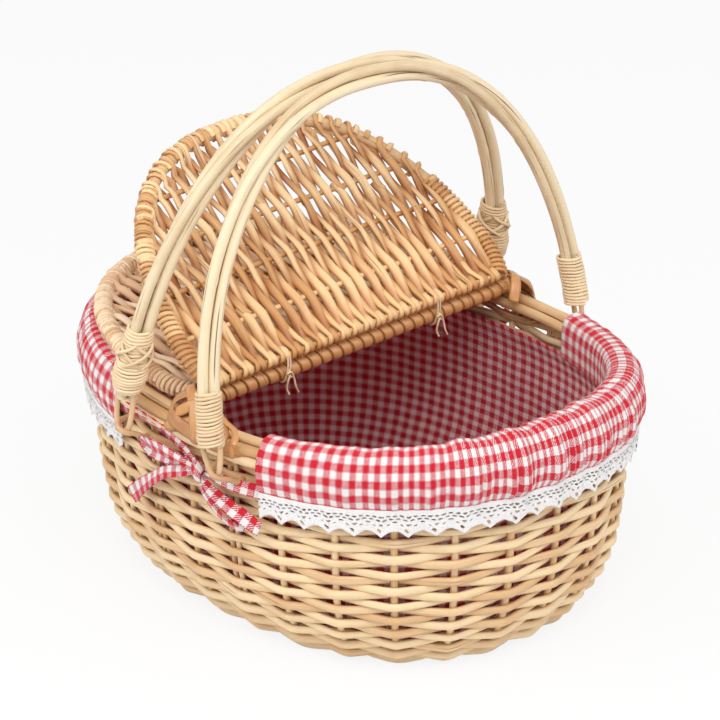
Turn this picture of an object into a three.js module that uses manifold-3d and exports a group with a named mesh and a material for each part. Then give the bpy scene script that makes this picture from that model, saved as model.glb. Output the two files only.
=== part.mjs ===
// Oval willow picnic basket. Two half lids hinge on a crossbar, two swing handles are looped to the
// rim, and a cloth liner is turned over the rim in two cuffs, edged with lace and tied with bows.
// Millimetres, +Z up. +X points to the open end, -Y to the front, and the origin is the middle of
// the base on the surface that the basket stands on. The near lid is shown open, the rest closed.

import * as THREE from 'three';
import { mergeVertices } from 'three/addons/utils/BufferGeometryUtils.js';
import Module from 'manifold-3d';

const wasm = await Module();
wasm.setup();

// Fits
const clearance = 0.3; // between pieces that touch
const runningClearance = 0.7; // between a handle's eye and the rim eye that it swings in
const clothSlack = 0.6; // between cloth and the rim that it goes over

// Body: an oval wall drawn in sharply at its foot
const halfLength = 190; // to the middle of the wall at the rim, along X
const halfWidth = 149; // the same along Y
const ovalPower = 2.35; // 2 is an ellipse
const wallHeight = 148;
const wallThickness = 7; // from the inside of the weave to the face that the border lies on
const endRise = 11; // how much higher the rim is at the two ends
const footInset = 34;
const footPower = 5; // how sharply the wall draws in
const baseThickness = 8;
const stakeCount = 28;
const stakeWidth = 5.5;
const stakeDepth = 4;
const stakeOut = 1.3; // the stakes' middle, out from the middle of the wall
const weaveBands = 6; // each passes outside one stake and inside the next
const bandThickness = 2.3;
const weaveTop = 124; // the bands end here, and a plain course inside the stakes goes on to the rim
const stakeBend = 10; // how far above the bands the stakes bend out to the border

// Rim: a border turned from the stakes, with three long rods on it
const rimRodRadius = 3.6;
const rimRodSides = 5;
const ringSteps = 2 * stakeCount; // each stake lies on the middle of a facet

// Crossbar, its cane wrap and the lashings at its ends
const crossbarRadius = 5;
const crossbarOverhang = 6; // past the middle of the wall
const wrapThickness = 1.2;
const wrapStripWidth = 7;
const wrapTurns = 22;
const wrapSteps = 8; // a turn
const lashingThickness = 3;
const lashingHalfWidth = 27;
const lashingDrop = 8;
const lashingStrapWidth = 16;
const lashingStrapReach = 17;

// Lids
const lidHalfWidth = halfWidth - 14; // to the middle of the bow rod
const lidDepth = 166; // from the hinge bar to the middle of the bow rod
const lidPower = 2.3;
const lidBowRadius = 7;
const lidBowSides = 6;
const lidBarRadius = 5;
const lidWeaveThickness = 4;
const lidWeaveRelief = 1.8;
const lidRibRadius = 2.5;
const lidRibCount = 4;
const lidBowSteps = 30;
const hingeInset = 5; // the lid's hinge line, beside and above the crossbar's middle
const hingeLift = 4.1;
const nearLidLean = 38; // degrees above level, leaning over the far lid
const tieWidth = 8;
const tieThickness = 1.4;
const tieOffset = 70; // along the crossbar
const tieArc = 120; // degrees, under the crossbar

// Handles
const handleHeight = 225; // from the pivot to the middle of the arch
const handleHalfSpan = halfWidth + 22; // from the middle of the basket to a foot
const handlePower = 2.2;
const handleFootOffset = 47; // from the crossbar
const handleRodRadius = 3.7;
const handleRodCount = 3;
const handleRodSides = 5;
const handleRodSteps = 24;
const handleTwist = 0.8; // turns of the rods from foot to foot
const handleStraight = 0.12; // share of the arch over which the rods run straight, at each foot
const whippingRadius = 1.1;
const whippingPitch = 3.1;
const whippingTurns = 12;
const whippingSteps = 8; // a turn
const eyeRodRadius = 2.2;
const eyeLength = 24; // from the pivot to the foot of the whipping
const rimEyeRodRadius = 2.5;
const rimEyeCorner = 2;
const eyeSides = 6;

// Cloth
const clothThickness = 1.4;
const linerFloorGap = 0.5;
const linerFootInset = 3; // how much rounder the bag is at its floor
const linerFlareHeight = 16; // over which the bag comes in to the cuffs
const cuffStart = 68; // each cuff begins this far from the crossbar
const cuffFall = 34; // from the top of the rim to the cuff's hem
const cuffTurnIn = 28;
const cuffPuff = 4; // how much further the cuff stands out at the end of the basket
const cuffFoldCount = 13;
const cuffFoldSteps = 3;
const cuffFoldDepth = 2.4;
const laceWidth = 20;
const laceThickness = 1;
const laceSteps = 28;
const ribbonWidth = 9;
const ribbonThickness = 1.2;
const bowKnotSize = 13;
const bowKnotOffset = 20;
const bowDrop = 16; // below the border

// Finishes
const material = (color, roughness) => new THREE.MeshStandardMaterial({ color, roughness, metalness: 0 });
const bodyWillow = () => material(0xd9b27c, 0.6);
const lidWillow = () => material(0xd8a26c, 0.6);
const handleWillow = () => material(0xe6cf9c, 0.5);
const cane = () => material(0xb9824a, 0.5);
const binding = () => material(0xcdb27e, 0.6);
const gingham = () => material(0xd4515c, 0.9);
const linerCloth = () => material(0x8c2a34, 0.9);
const lace = () => material(0xf2f0ee, 0.9);

const basket = new THREE.Group();

function add(parent, name, geometry, finish) {
  const mesh = new THREE.Mesh(geometry, finish);
  mesh.name = name;
  parent.add(mesh);
  return mesh;
}

// A geometry of shared corners with its faces pointing out
function closedBody(geometry) {
  geometry.deleteAttribute('normal');
  geometry.deleteAttribute('uv');
  const body = mergeVertices(geometry, 1e-3);
  const index = body.getIndex();
  const corners = [0, 1, 2].map(() => new THREE.Vector3());
  const kept = [];
  let volume = 0;
  for (let i = 0; i < index.count; i += 3) {
    const triangle = [index.getX(i), index.getX(i + 1), index.getX(i + 2)];
    if (new Set(triangle).size < 3) continue;
    triangle.forEach((vertex, k) => corners[k].fromBufferAttribute(body.attributes.position, vertex));
    volume += corners[0].dot(corners[1].clone().cross(corners[2]));
    kept.push(triangle);
  }
  if (volume < 0) kept.forEach((triangle) => triangle.reverse());
  body.setIndex(kept.flat());
  return body;
}

function moveVertices(geometry, place) {
  const position = geometry.attributes.position;
  for (let i = 0; i < position.count; i++) {
    const moved = place(position.getX(i), position.getY(i), position.getZ(i));
    position.setXYZ(i, moved.x, moved.y, moved.z);
  }
  return closedBody(geometry);
}

// A profile carried along a run with two ends: place(share, out, up) puts each of its points
function run(profile, steps, place) {
  const shape = new THREE.Shape(profile.map(([out, up]) => new THREE.Vector2(out, up)));
  const geometry = new THREE.ExtrudeGeometry(shape, { depth: 1, steps, bevelEnabled: false });
  return moveVertices(geometry, (out, up, share) => place(share, out, up));
}

// A profile carried once round the basket: a ring if it closes on itself, else a dish. A wave moves
// it out or in along the way.
function ring(profile, wave = () => 0) {
  const points = profile.map(([out, up]) => new THREE.Vector2(out + halfWidth, up));
  const geometry = new THREE.LatheGeometry(points, ringSteps);
  return moveVertices(geometry, (x, y, z) => {
    const turn = Math.atan2(x, z) / (2 * Math.PI) + 0.5 / ringSteps;
    return onOval(turn, Math.hypot(x, z) - halfWidth + wave(turn), y);
  });
}

function circle(radius, sides, middle = [0, 0]) {
  return Array.from({ length: sides }, (_, i) => {
    const angle = (2 * Math.PI * (i + 0.5)) / sides;
    return [middle[0] + radius * Math.cos(angle), middle[1] + radius * Math.sin(angle)];
  });
}

const closeProfile = (profile) => [...profile, profile[0]];

function rod(points, radius, sides, steps, closed = false) {
  const path = new THREE.CatmullRomCurve3(points, closed);
  const shape = new THREE.Shape(circle(radius, sides).map(([x, y]) => new THREE.Vector2(x, y)));
  return closedBody(new THREE.ExtrudeGeometry(shape, { steps, extrudePath: path, bevelEnabled: false }));
}

function toSolid(geometry) {
  const vertProperties = new Float32Array(geometry.attributes.position.array);
  const triVerts = new Uint32Array(geometry.getIndex().array);
  return new wasm.Manifold(new wasm.Mesh({ numProp: 3, vertProperties, triVerts }));
}

function join(geometries) {
  const solid = geometries.map(toSolid).reduce((sum, next) => sum.add(next));
  const mesh = solid.getMesh();
  const geometry = new THREE.BufferGeometry();
  geometry.setAttribute('position', new THREE.BufferAttribute(mesh.vertProperties, 3));
  geometry.setIndex(new THREE.BufferAttribute(mesh.triVerts, 1));
  return geometry;
}

// The least distance between one side of a winding and the other side of its next turn
function gapBetweenTurns(turns, steps, upperSide, lowerSide) {
  const count = turns * steps;
  let least = Infinity;
  for (let i = 0; i <= count - steps; i++) {
    for (let j = i + steps / 2; j <= Math.min(i + 1.5 * steps, count); j++) {
      least = Math.min(least, upperSide(i / count).distanceTo(lowerSide(j / count)));
    }
  }
  return least.toFixed(2);
}

// The oval of the rim, evenly spaced along its length
const signedPower = (value, power) => Math.sign(value) * Math.abs(value) ** power;
const oval = new THREE.CatmullRomCurve3(Array.from({ length: 64 }, (_, i) => {
  const angle = (2 * Math.PI * i) / 64;
  const x = halfLength * signedPower(Math.cos(angle), 2 / ovalPower);
  const y = halfWidth * signedPower(Math.sin(angle), 2 / ovalPower);
  return new THREE.Vector3(x, y, 0);
}), true);
oval.arcLengthDivisions = 1024;

const rimRise = (x) => endRise * (x / halfLength) ** 2;

// A point beside the oval: turn is 0 to 1 round it, out is the way out from the middle of the wall.
// Past the foot of the wall, points close in on the middle of the base.
const floorEdge = footInset + wallThickness;
function onOval(turn, out, up) {
  const share = ((turn % 1) + 1) % 1;
  const point = oval.getPointAt(share);
  const along = oval.getTangentAt(share);
  const outward = new THREE.Vector3(along.y, -along.x, 0).normalize();
  const rise = rimRise(point.x) * Math.min(1, Math.max(0, up / wallHeight));
  point.addScaledVector(outward, Math.max(out, -floorEdge));
  if (out < -floorEdge) point.multiplyScalar((out + halfWidth) / (halfWidth - floorEdge));
  point.z = up + rise;
  return point;
}

// The share of the oval at a distance from the crossbar, on the front near the open end
function turnAt(distance) {
  let low = 0.5;
  let high = 1;
  for (let i = 0; i < 40; i++) {
    const middle = (low + high) / 2;
    if (onOval(middle, 0, 0).x < distance) low = middle;
    else high = middle;
  }
  return low;
}

// Sides: bands of weave that pass outside one stake and inside the next
const footLine = (up) => -footInset * (1 - up / wallHeight) ** footPower;
const bandEdges = Array.from({ length: weaveBands + 1 }, (_, i) => (weaveTop * i) / weaveBands);
const wallKnots = [...bandEdges.slice(0, 4), wallHeight];
// The middle of the wall at a height: straight between its knots
function wallInset(up) {
  const knot = Math.max(wallKnots.findLastIndex((level) => level < up), 0);
  const low = wallKnots[knot];
  const high = wallKnots[knot + 1];
  return THREE.MathUtils.mapLinear(up, low, high, footLine(low), footLine(high));
}
const bandInner = wallThickness / 2;
const bandSwing = bandInner + stakeOut + stakeDepth / 2 + clearance;
const bandProfile = (low, high) => closeProfile([
  [wallInset(low) - bandInner, low],
  [wallInset(low) - bandInner + bandThickness, low],
  [wallInset(high) - bandInner + bandThickness, high],
  [wallInset(high) - bandInner, high],
]);
for (let band = 0; band < weaveBands; band++) {
  const outsideOf = (turn) => Math.abs(Math.round(turn * stakeCount) + band) % 2;
  const profile = bandProfile(bandEdges[band], bandEdges[band + 1] - clearance);
  const name = band === 0 ? 'side_weave' : `side_weave_${band + 1}`;
  add(basket, name, ring(profile, (turn) => bandSwing * outsideOf(turn)), bodyWillow());
}
add(basket, 'side_weave_top', ring(bandProfile(weaveTop, wallHeight)), bodyWillow());

const baseGap = clearance * 2;
const baseEdge = (up) => wallInset(up) - bandInner - baseGap;
add(basket, 'base_mat', ring([
  [-halfWidth, 0],
  [baseEdge(0), 0],
  [baseEdge(baseThickness), baseThickness],
  [-halfWidth, baseThickness],
]), bodyWillow());

// Rim rods: the places of their middles, out from the wall and up
const rodPitch = 2 * rimRodRadius + clearance;
const borderOut = wallThickness / 2 + clearance + rimRodRadius;
const borderUp = wallHeight - rimRodRadius;
const shoulderOut = 6.2;
const shoulderUp = borderUp + Math.sqrt(rodPitch ** 2 - (borderOut - shoulderOut) ** 2);
const crownUp = shoulderUp + Math.sqrt(rodPitch ** 2 - shoulderOut ** 2);
const rimTop = crownUp + rimRodRadius;
const rimOut = borderOut + rimRodRadius * Math.cos(Math.PI / rimRodSides);
const rimRod = (out, up) => ring(closeProfile(circle(rimRodRadius, rimRodSides, [out, up])));

// A stake stands among the bands, flat on the middle of a facet, and bends out to the border
function stake(index) {
  const levels = [baseThickness, ...wallKnots.slice(1, -1), weaveTop + stakeBend, borderUp];
  const half = stakeWidth / 2;
  const deep = stakeDepth / 2;
  const section = [[-half, -deep], [half, -deep], [half, deep], [-half, deep]];
  return run(section, levels.length - 1, (share, across, proud) => {
    const up = levels[Math.round(share * (levels.length - 1))];
    const middle = up === borderUp ? borderOut : wallInset(up) + stakeOut;
    const first = onOval((2 * index - 0.5) / ringSteps, middle, up);
    const second = onOval((2 * index + 0.5) / ringSteps, middle, up);
    const chord = second.clone().sub(first).setZ(0).normalize();
    const outward = new THREE.Vector3(chord.y, -chord.x, 0);
    first.lerp(second, 0.5).addScaledVector(chord, across);
    return first.addScaledVector(outward, proud);
  });
}
const stakes = Array.from({ length: stakeCount }, (_, i) => stake(i));
add(basket, 'stakes_and_border', join([rimRod(borderOut, borderUp), ...stakes]), bodyWillow());
add(basket, 'rim_rod_outer', rimRod(shoulderOut, shoulderUp), handleWillow());
add(basket, 'rim_rod_top', rimRod(0, crownUp), handleWillow());
add(basket, 'rim_rod_inner', rimRod(-shoulderOut, shoulderUp), handleWillow());

// Crossbar over the rim, its spiral wrap and the lashings that hold its ends
const crossbarUp = rimTop + clearance + crossbarRadius;
const crossbarHalf = halfWidth + crossbarOverhang;
const crossbar = new THREE.CylinderGeometry(crossbarRadius, crossbarRadius, 2 * crossbarHalf, wrapSteps);
add(basket, 'crossbar', closedBody(crossbar), cane()).position.set(0, 0, crossbarUp);

const wrapInner = (crossbarRadius + clearance) / Math.cos(Math.PI / wrapSteps);
const wrapOuter = wrapInner + wrapThickness;
const wrapHalf = lidHalfWidth - lidBowRadius - wrapStripWidth;
const stripHalf = wrapStripWidth / 2;
function wrapPoint(share, along, radius) {
  const angle = 2 * Math.PI * wrapTurns * share;
  const y = wrapHalf * (2 * share - 1) + along;
  return new THREE.Vector3(radius * Math.cos(angle), y, crossbarUp + radius * Math.sin(angle));
}
add(basket, 'crossbar_wrap', run([
  [-stripHalf, wrapInner],
  [stripHalf, wrapInner],
  [stripHalf, wrapOuter],
  [-stripHalf, wrapOuter],
], wrapTurns * wrapSteps, wrapPoint), cane());
console.log('least gap between turns of the crossbar wrap', gapBetweenTurns(
  wrapTurns,
  wrapSteps,
  (share) => wrapPoint(share, stripHalf, wrapInner),
  (share) => wrapPoint(share, -stripHalf, wrapInner),
));

function lashing() {
  const face = -(halfWidth + rimOut + clearance);
  const diamond = new THREE.Shape([
    new THREE.Vector2(-lashingHalfWidth, borderUp),
    new THREE.Vector2(0, borderUp - lashingDrop),
    new THREE.Vector2(lashingHalfWidth, borderUp),
    new THREE.Vector2(lashingStrapWidth / 2, crossbarUp + crossbarRadius + clearance),
    new THREE.Vector2(-lashingStrapWidth / 2, crossbarUp + crossbarRadius + clearance),
  ]);
  const pad = new THREE.ExtrudeGeometry(diamond, { depth: lashingThickness, bevelEnabled: false });
  pad.rotateX(Math.PI / 2);
  pad.translate(0, face, 0);
  const reach = lashingStrapReach + lashingThickness;
  const strap = new THREE.BoxGeometry(lashingStrapWidth, reach, lashingThickness);
  const strapUp = crossbarUp + crossbarRadius + clearance + lashingThickness / 2;
  strap.translate(0, face - lashingThickness + reach / 2, strapUp);
  const overlap = new THREE.BoxGeometry(lashingStrapWidth, lashingThickness, 2 * lashingThickness);
  overlap.translate(0, face - lashingThickness / 2, strapUp - lashingThickness / 2);
  return join([closedBody(pad), closedBody(strap), closedBody(overlap)]);
}
add(basket, 'lashing_front', lashing(), cane());
add(basket, 'lashing_back', lashing(), cane()).rotation.z = Math.PI;

// Lid ties: the turn of each tie that stays under the crossbar
function lidTie() {
  const inner = wrapOuter + clearance;
  const half = tieWidth / 2;
  const outer = inner + tieThickness;
  const section = [[-half, inner], [half, inner], [half, outer], [-half, outer]];
  const arc = THREE.MathUtils.degToRad(tieArc);
  return run(section, 6, (share, along, radius) => {
    const angle = -Math.PI / 2 + arc * (share - 0.5);
    return new THREE.Vector3(radius * Math.cos(angle), along, crossbarUp + radius * Math.sin(angle));
  });
}
for (const [name, y] of [['front', -tieOffset], ['back', tieOffset]]) {
  add(basket, `lid_tie_${name}`, lidTie(), binding()).position.y = y;
}

// A lid lies in its own frame: its bar on the Y axis, its depth along +X, its upper face up
const lidOutline = (share, inset) => {
  const angle = Math.PI * (share - 0.5);
  const depth = (lidDepth - inset) * signedPower(Math.cos(angle), 2 / lidPower);
  const side = (lidHalfWidth - inset) * signedPower(Math.sin(angle), 2 / lidPower);
  return new THREE.Vector2(depth, side);
};

function lidBow() {
  return run(circle(lidBowRadius, lidBowSides), lidBowSteps, (share, out, up) => {
    const point = lidOutline(share, 0);
    const outward = lidOutline(share, -1).sub(point).normalize();
    point.addScaledVector(outward, out);
    return new THREE.Vector3(Math.max(point.x, 0), point.y, up);
  });
}

// The woven panel has a ridge at every second point of its outline
function lidWeave() {
  const inset = lidBowRadius + clearance;
  const start = lidBarRadius + clearance;
  const points = Array.from({ length: lidBowSteps + 1 }, (_, i) => lidOutline(i / lidBowSteps, inset));
  const kept = points.filter((point) => point.x > start);
  const thick = (lidWeaveThickness - lidWeaveRelief) / 2;
  return run([[0, -thick], [1, -thick], [1, thick], [0, thick]], kept.length - 1, (share, along, up) => {
    const number = Math.round(share * (kept.length - 1));
    const ridge = ((number % 2 ? -1 : 1) * lidWeaveRelief) / 2;
    return new THREE.Vector3(start + along * (kept[number].x - start), kept[number].y, up + ridge);
  });
}

function lidRib(depth) {
  const share = (depth + lidRibRadius) / (lidDepth - lidBowRadius);
  const half = (lidHalfWidth - lidBowRadius) * (1 - share ** lidPower) ** (1 / lidPower) - clearance;
  const rib = new THREE.CylinderGeometry(lidRibRadius, lidRibRadius, 2 * half, 6);
  rib.translate(depth, 0, -(lidWeaveThickness / 2 + clearance + lidRibRadius));
  return closedBody(rib);
}

// Closed, a lid's bow rests on the roll of the cuff at the end of the basket
const barOut = wrapOuter + clearance + lidBarRadius;
const cuffTop = rimTop + clothSlack + clothThickness;
const bowRestUp = cuffTop + rimRise(barOut + lidDepth) + clearance + lidBowRadius;
const lidTilt = Math.atan2(bowRestUp - crossbarUp, lidDepth);
const lidOpening = Math.PI - THREE.MathUtils.degToRad(nearLidLean) - lidTilt;

function lid(name, opening, turned) {
  const side = new THREE.Group();
  side.rotation.z = turned ? Math.PI : 0;
  basket.add(side);
  const hinge = new THREE.Group();
  hinge.position.set(hingeInset, 0, crossbarUp + hingeLift);
  hinge.rotation.y = -opening;
  side.add(hinge);
  const frame = new THREE.Group();
  frame.position.set(barOut - hingeInset, 0, -hingeLift);
  frame.rotation.y = -lidTilt;
  hinge.add(frame);
  const barLength = 2 * (lidHalfWidth - lidBowRadius * Math.cos(Math.PI / lidBowSides) - clearance);
  const bar = new THREE.CylinderGeometry(lidBarRadius, lidBarRadius, barLength, 8);
  add(frame, `${name}_bow`, lidBow(), lidWillow());
  add(frame, `${name}_hinge_bar`, closedBody(bar), lidWillow());
  add(frame, `${name}_weave`, lidWeave(), lidWillow());
  for (let i = 1; i <= lidRibCount; i++) {
    const depth = (lidDepth * i) / (lidRibCount + 1);
    add(frame, `${name}_rib_${i}`, lidRib(depth), lidWillow());
  }
}
lid('near_lid', lidOpening, false);
lid('far_lid', 0, true);

// A handle stands in its own frame: its pivot on the Y axis, its arch in the YZ plane
const pivotHeight = borderUp - rimRodRadius - clearance - rimEyeRodRadius;
const bundleOffset = (handleRodRadius + clearance / 2) / Math.sin(Math.PI / handleRodCount);
const bundleRadius = bundleOffset + handleRodRadius;
const handleLean = Math.asin((handleFootOffset - bundleRadius - 1.5 * clearance) / handleHeight);
const whippingLength = whippingPitch * whippingTurns;
const rodFoot = eyeLength + 4;

function archPoint(share) {
  const foot = Math.asin((rodFoot / handleHeight) ** (handlePower / 2));
  const angle = foot + (Math.PI - 2 * foot) * share;
  const y = -handleHalfSpan * signedPower(Math.cos(angle), 2 / handlePower);
  const z = handleHeight * Math.sin(angle) ** (2 / handlePower);
  return new THREE.Vector3(0, y, z);
}

function archOutward(share) {
  const before = archPoint(Math.max(share - 0.5 / handleRodSteps, 0));
  const after = archPoint(Math.min(share + 0.5 / handleRodSteps, 1));
  const ahead = after.sub(before).normalize();
  return new THREE.Vector3(0, -ahead.z, ahead.y);
}

function handleRod(index) {
  const count = 2 * handleRodSteps;
  const points = Array.from({ length: count + 1 }, (_, i) => {
    const share = i / count;
    const middle = archPoint(share);
    const outward = archOutward(share);
    const eased = THREE.MathUtils.smoothstep(share, handleStraight, 1 - handleStraight);
    const angle = 2 * Math.PI * (index / handleRodCount + handleTwist * eased);
    middle.addScaledVector(outward, bundleOffset * Math.cos(angle));
    middle.x += bundleOffset * Math.sin(angle);
    return middle;
  });
  return rod(points, handleRodRadius, handleRodSides, handleRodSteps);
}

const archHalf = (z) => handleHalfSpan * (1 - (z / handleHeight) ** handlePower) ** (1 / handlePower);

// The whipping is one strand wound up the foot of the handle
const windRadius = (bundleRadius + clearance + whippingRadius) / Math.cos(Math.PI / whippingSteps);
function whippingPoint(share, out, up) {
  const angle = 2 * Math.PI * whippingTurns * share;
  const z = eyeLength + whippingLength * share;
  const y = (windRadius + out) * Math.sin(angle) - archHalf(z);
  return new THREE.Vector3((windRadius + out) * Math.cos(angle), y, z + up);
}
const whipping = () => run(circle(whippingRadius, 3), whippingTurns * whippingSteps, whippingPoint);
console.log('least gap between turns of a whipping', gapBetweenTurns(
  whippingTurns,
  whippingSteps,
  (share) => whippingPoint(share, 0, whippingRadius),
  (share) => whippingPoint(share, 0, -whippingRadius),
));

// An eye under each whipping: a long loop in the XZ plane, round at the pivot
const eyeRadius = rimEyeRodRadius + runningClearance + eyeRodRadius;
function handleEye() {
  const count = 10;
  const top = rodFoot - clearance;
  return run(circle(eyeRodRadius, eyeSides), count + 2, (share, out, up) => {
    const step = Math.round(share * (count + 2));
    const angle = Math.PI + (Math.PI * (step - 1)) / count;
    const end = step === 0 || step === count + 2;
    const side = step === 0 ? -1 : 1;
    const x = end ? side * (eyeRadius + out) : (eyeRadius + out) * Math.cos(angle);
    const z = end ? top : (eyeRadius + out) * Math.sin(angle);
    return new THREE.Vector3(x, up - handleHalfSpan, z);
  });
}

function handle(name, side) {
  const pivot = new THREE.Group();
  pivot.position.set(side * handleFootOffset, 0, pivotHeight);
  pivot.rotation.y = -side * handleLean;
  basket.add(pivot);
  for (let i = 0; i < handleRodCount; i++) {
    add(pivot, `${name}_rod_${i + 1}`, handleRod(i), handleWillow());
  }
  for (const [end, angle] of [['front', 0], ['back', Math.PI]]) {
    add(pivot, `${name}_whipping_${end}`, whipping(), binding()).rotation.z = angle;
    add(pivot, `${name}_eye_${end}`, handleEye(), binding()).rotation.z = angle;
  }
}
handle('far_handle', -1);
handle('near_handle', 1);

// Rim eyes: a loop under the border that stands out from the weave. Its upper side is the pivot.
function rimEye(side) {
  const foot = turnAt(handleFootOffset);
  const flat = rimEyeRodRadius * Math.cos(Math.PI / eyeSides);
  const inside = -onOval(foot, bandThickness - bandInner + clearance + flat, 0).y;
  const outside = handleHalfSpan + eyeRodRadius + runningClearance + rimEyeRodRadius;
  const drop = eyeRadius + eyeRodRadius + runningClearance + rimEyeRodRadius;
  const corners = [[inside, 0], [outside, 0], [outside, -drop], [inside, -drop]];
  const loop = corners.flatMap(([y, z], turn) => [0, 1, 2].map((step) => {
    const angle = Math.PI - (Math.PI / 2) * (turn + step / 2);
    const toY = y === inside ? rimEyeCorner : -rimEyeCorner;
    const toZ = z === 0 ? -rimEyeCorner : rimEyeCorner;
    return [y + toY + rimEyeCorner * Math.cos(angle), z + toZ + rimEyeCorner * Math.sin(angle)];
  }));
  const middle = [(inside + outside) / 2, -drop / 2];
  const reel = 10 * rimEyeRodRadius;
  const section = closeProfile(circle(rimEyeRodRadius, eyeSides));
  const points = section.map(([out, up]) => new THREE.Vector2(reel + out, up));
  return moveVertices(new THREE.LatheGeometry(points, loop.length), (x, up, z) => {
    const turn = Math.round((loop.length * Math.atan2(x, z)) / (2 * Math.PI) + loop.length) % loop.length;
    const out = Math.hypot(x, z) - reel;
    const [y, height] = loop[turn];
    const [yBefore, zBefore] = loop[(turn + loop.length - 1) % loop.length];
    const [yAfter, zAfter] = loop[(turn + 1) % loop.length];
    const outward = new THREE.Vector2(-(zAfter - zBefore), yAfter - yBefore).normalize();
    if (outward.dot(new THREE.Vector2(y - middle[0], height - middle[1])) < 0) outward.negate();
    return new THREE.Vector3(
      side * handleFootOffset + up,
      -(y + outward.x * out),
      pivotHeight + height + outward.y * out,
    );
  });
}
for (const [name, side] of [['far', -1], ['near', 1]]) {
  add(basket, `rim_eye_${name}_front`, rimEye(side), handleWillow());
  add(basket, `rim_eye_${name}_back`, rimEye(-side), handleWillow()).rotation.z = Math.PI;
}

// Liner: a bag inside the wall that flares to meet the turn-in of the cuffs
const turnInUp = rimTop - cuffTurnIn;
const cuffInside = -(shoulderOut + rimRodRadius + 2 * clothSlack);
const linerOut = (up) => wallInset(up) - bandInner - clearance - linerFloorGap;
const linerFloor = baseThickness + linerFloorGap;
const linerLevels = [linerFloor, ...wallKnots.slice(1, 3), turnInUp - linerFlareHeight];
const linerOuter = linerLevels.map((up) => [linerOut(up) - (up === linerFloor ? linerFootInset : 0), up]);
const linerInner = linerOuter.map(([out, up], i) => [out - clothThickness, i === 0 ? up + clothThickness : up]);
add(basket, 'liner', ring([
  [-halfWidth, linerOuter[0][1]],
  ...linerOuter,
  [cuffInside, turnInUp - clearance],
  [cuffInside - clothThickness, turnInUp - clearance],
  ...linerInner.reverse(),
  [-halfWidth, linerOuter[0][1] + clothThickness],
]), linerCloth());

// Cuffs: the liner turned over the rim rods, with gathered folds in the part that hangs outside
const cuffOutside = borderOut + rimRodRadius + 2 * clothSlack;
const cuffLine = [
  [cuffInside, turnInUp],
  [cuffInside, shoulderUp],
  [-shoulderOut, rimTop + clothSlack],
  [shoulderOut, rimTop + clothSlack],
  [cuffOutside, shoulderUp],
  [cuffOutside, borderUp - rimRodRadius],
  [bandSwing - bandInner + bandThickness + 5 * clothSlack, rimTop - cuffFall],
];
const cuffOffset = [[-1, 0], [-0.95, 0.3], [-0.4, 0.9], [0.4, 0.9], [0.95, 0.3], [1, 0], [1, 0]];
const cuffOuterLine = cuffLine.map(([out, up], i) => {
  return [out + clothThickness * cuffOffset[i][0], up + clothThickness * cuffOffset[i][1]];
});
const cuffTurn = 1 - turnAt(cuffStart);
const cuffShare = (share) => -cuffTurn + 2 * cuffTurn * share;
const endPuff = (turn, out) => (out > 0 ? cuffPuff * Math.cos((Math.PI * turn) / (2 * cuffTurn)) ** 2 : 0);

function cuff() {
  const hang = (up) => THREE.MathUtils.clamp((rimTop - up) / cuffFall, 0, 1);
  const section = [...cuffLine, ...cuffOuterLine.slice().reverse()];
  return run(section, cuffFoldCount * cuffFoldSteps, (share, out, up) => {
    const turn = cuffShare(share);
    const wave = 0.5 - 0.5 * Math.cos(2 * Math.PI * cuffFoldCount * share);
    const fold = out > 0 ? cuffFoldDepth * wave * (0.25 + 0.75 * hang(up)) : 0;
    return onOval(turn, out + endPuff(turn, out) + fold, up);
  });
}
function laceEdge() {
  const [hemOut, hemUp] = cuffLine[cuffLine.length - 1];
  const front = hemOut + laceThickness;
  const top = hemUp - clearance;
  const section = [[hemOut, top], [hemOut, top - laceWidth], [front, top - laceWidth], [front, top]];
  return run(section, laceSteps, (share, outward, up) => {
    const turn = cuffShare(share);
    return onOval(turn, outward + endPuff(turn, outward) * ((up - top + laceWidth) / laceWidth), up);
  });
}
for (const [name, angle] of [['near', 0], ['far', Math.PI]]) {
  add(basket, `cuff_${name}`, cuff(), gingham()).rotation.z = angle;
  add(basket, `lace_${name}`, laceEdge(), lace()).rotation.z = angle;
}

// Bows: a knot with two loops and three ends of ribbon, on the weave under the rim
const bowOut = bandSwing - bandInner + bandThickness + 2 * clearance + ribbonThickness / 2;
const bowUp = borderUp - bowDrop;
// Each strand from the knot, in ribbon widths: along, out and up
const bowLoop = [[0, 0.4, 0], [-3.1, 1, 0.1], [-5.8, 0.6, -0.2]];
const bowFarTail = [[0, 0.4, 0], [-3.8, 0.6, -1.3], [-8, 0.1, -4.9]];
const bowNearTail = [[0, 0.4, 0], [2.2, 0.7, -1.5], [3.8, 0.35, -3.2]];
const bowHem = (cuffStart - 3 * clearance - bowKnotOffset) / ribbonWidth;
const bowStrand = [[0, 0.4, 0], [bowHem / 2, 0.3, -1.5], [bowHem, 0.2, -1.3]];

function ribbon(points) {
  const knotPlace = new THREE.Vector3(bowKnotOffset, 0, bowUp);
  const path = new THREE.CatmullRomCurve3(points.map((point) => {
    return new THREE.Vector3(...point).multiplyScalar(ribbonWidth).add(knotPlace);
  }));
  const half = ribbonWidth / 2;
  const thick = ribbonThickness / 2;
  return run([[-half, -thick], [half, -thick], [half, thick], [-half, thick]], 6, (share, across, proud) => {
    const point = path.getPoint(share);
    const ahead = path.getTangent(share);
    const side = new THREE.Vector3(-ahead.z, 0, ahead.x).normalize();
    point.addScaledVector(side, across);
    return onOval(turnAt(point.x), bowOut + point.y + proud, point.z);
  });
}
function bow() {
  const knot = new THREE.SphereGeometry(bowKnotSize / 2, 8, 6);
  const knotOut = bowOut + bowKnotSize / 2 - ribbonThickness / 2;
  knot.translate(...onOval(turnAt(bowKnotOffset), knotOut, bowUp).toArray());
  return join([closedBody(knot), ...[bowLoop, bowFarTail, bowNearTail, bowStrand].map(ribbon)]);
}
add(basket, 'bow_front', bow(), gingham());
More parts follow.
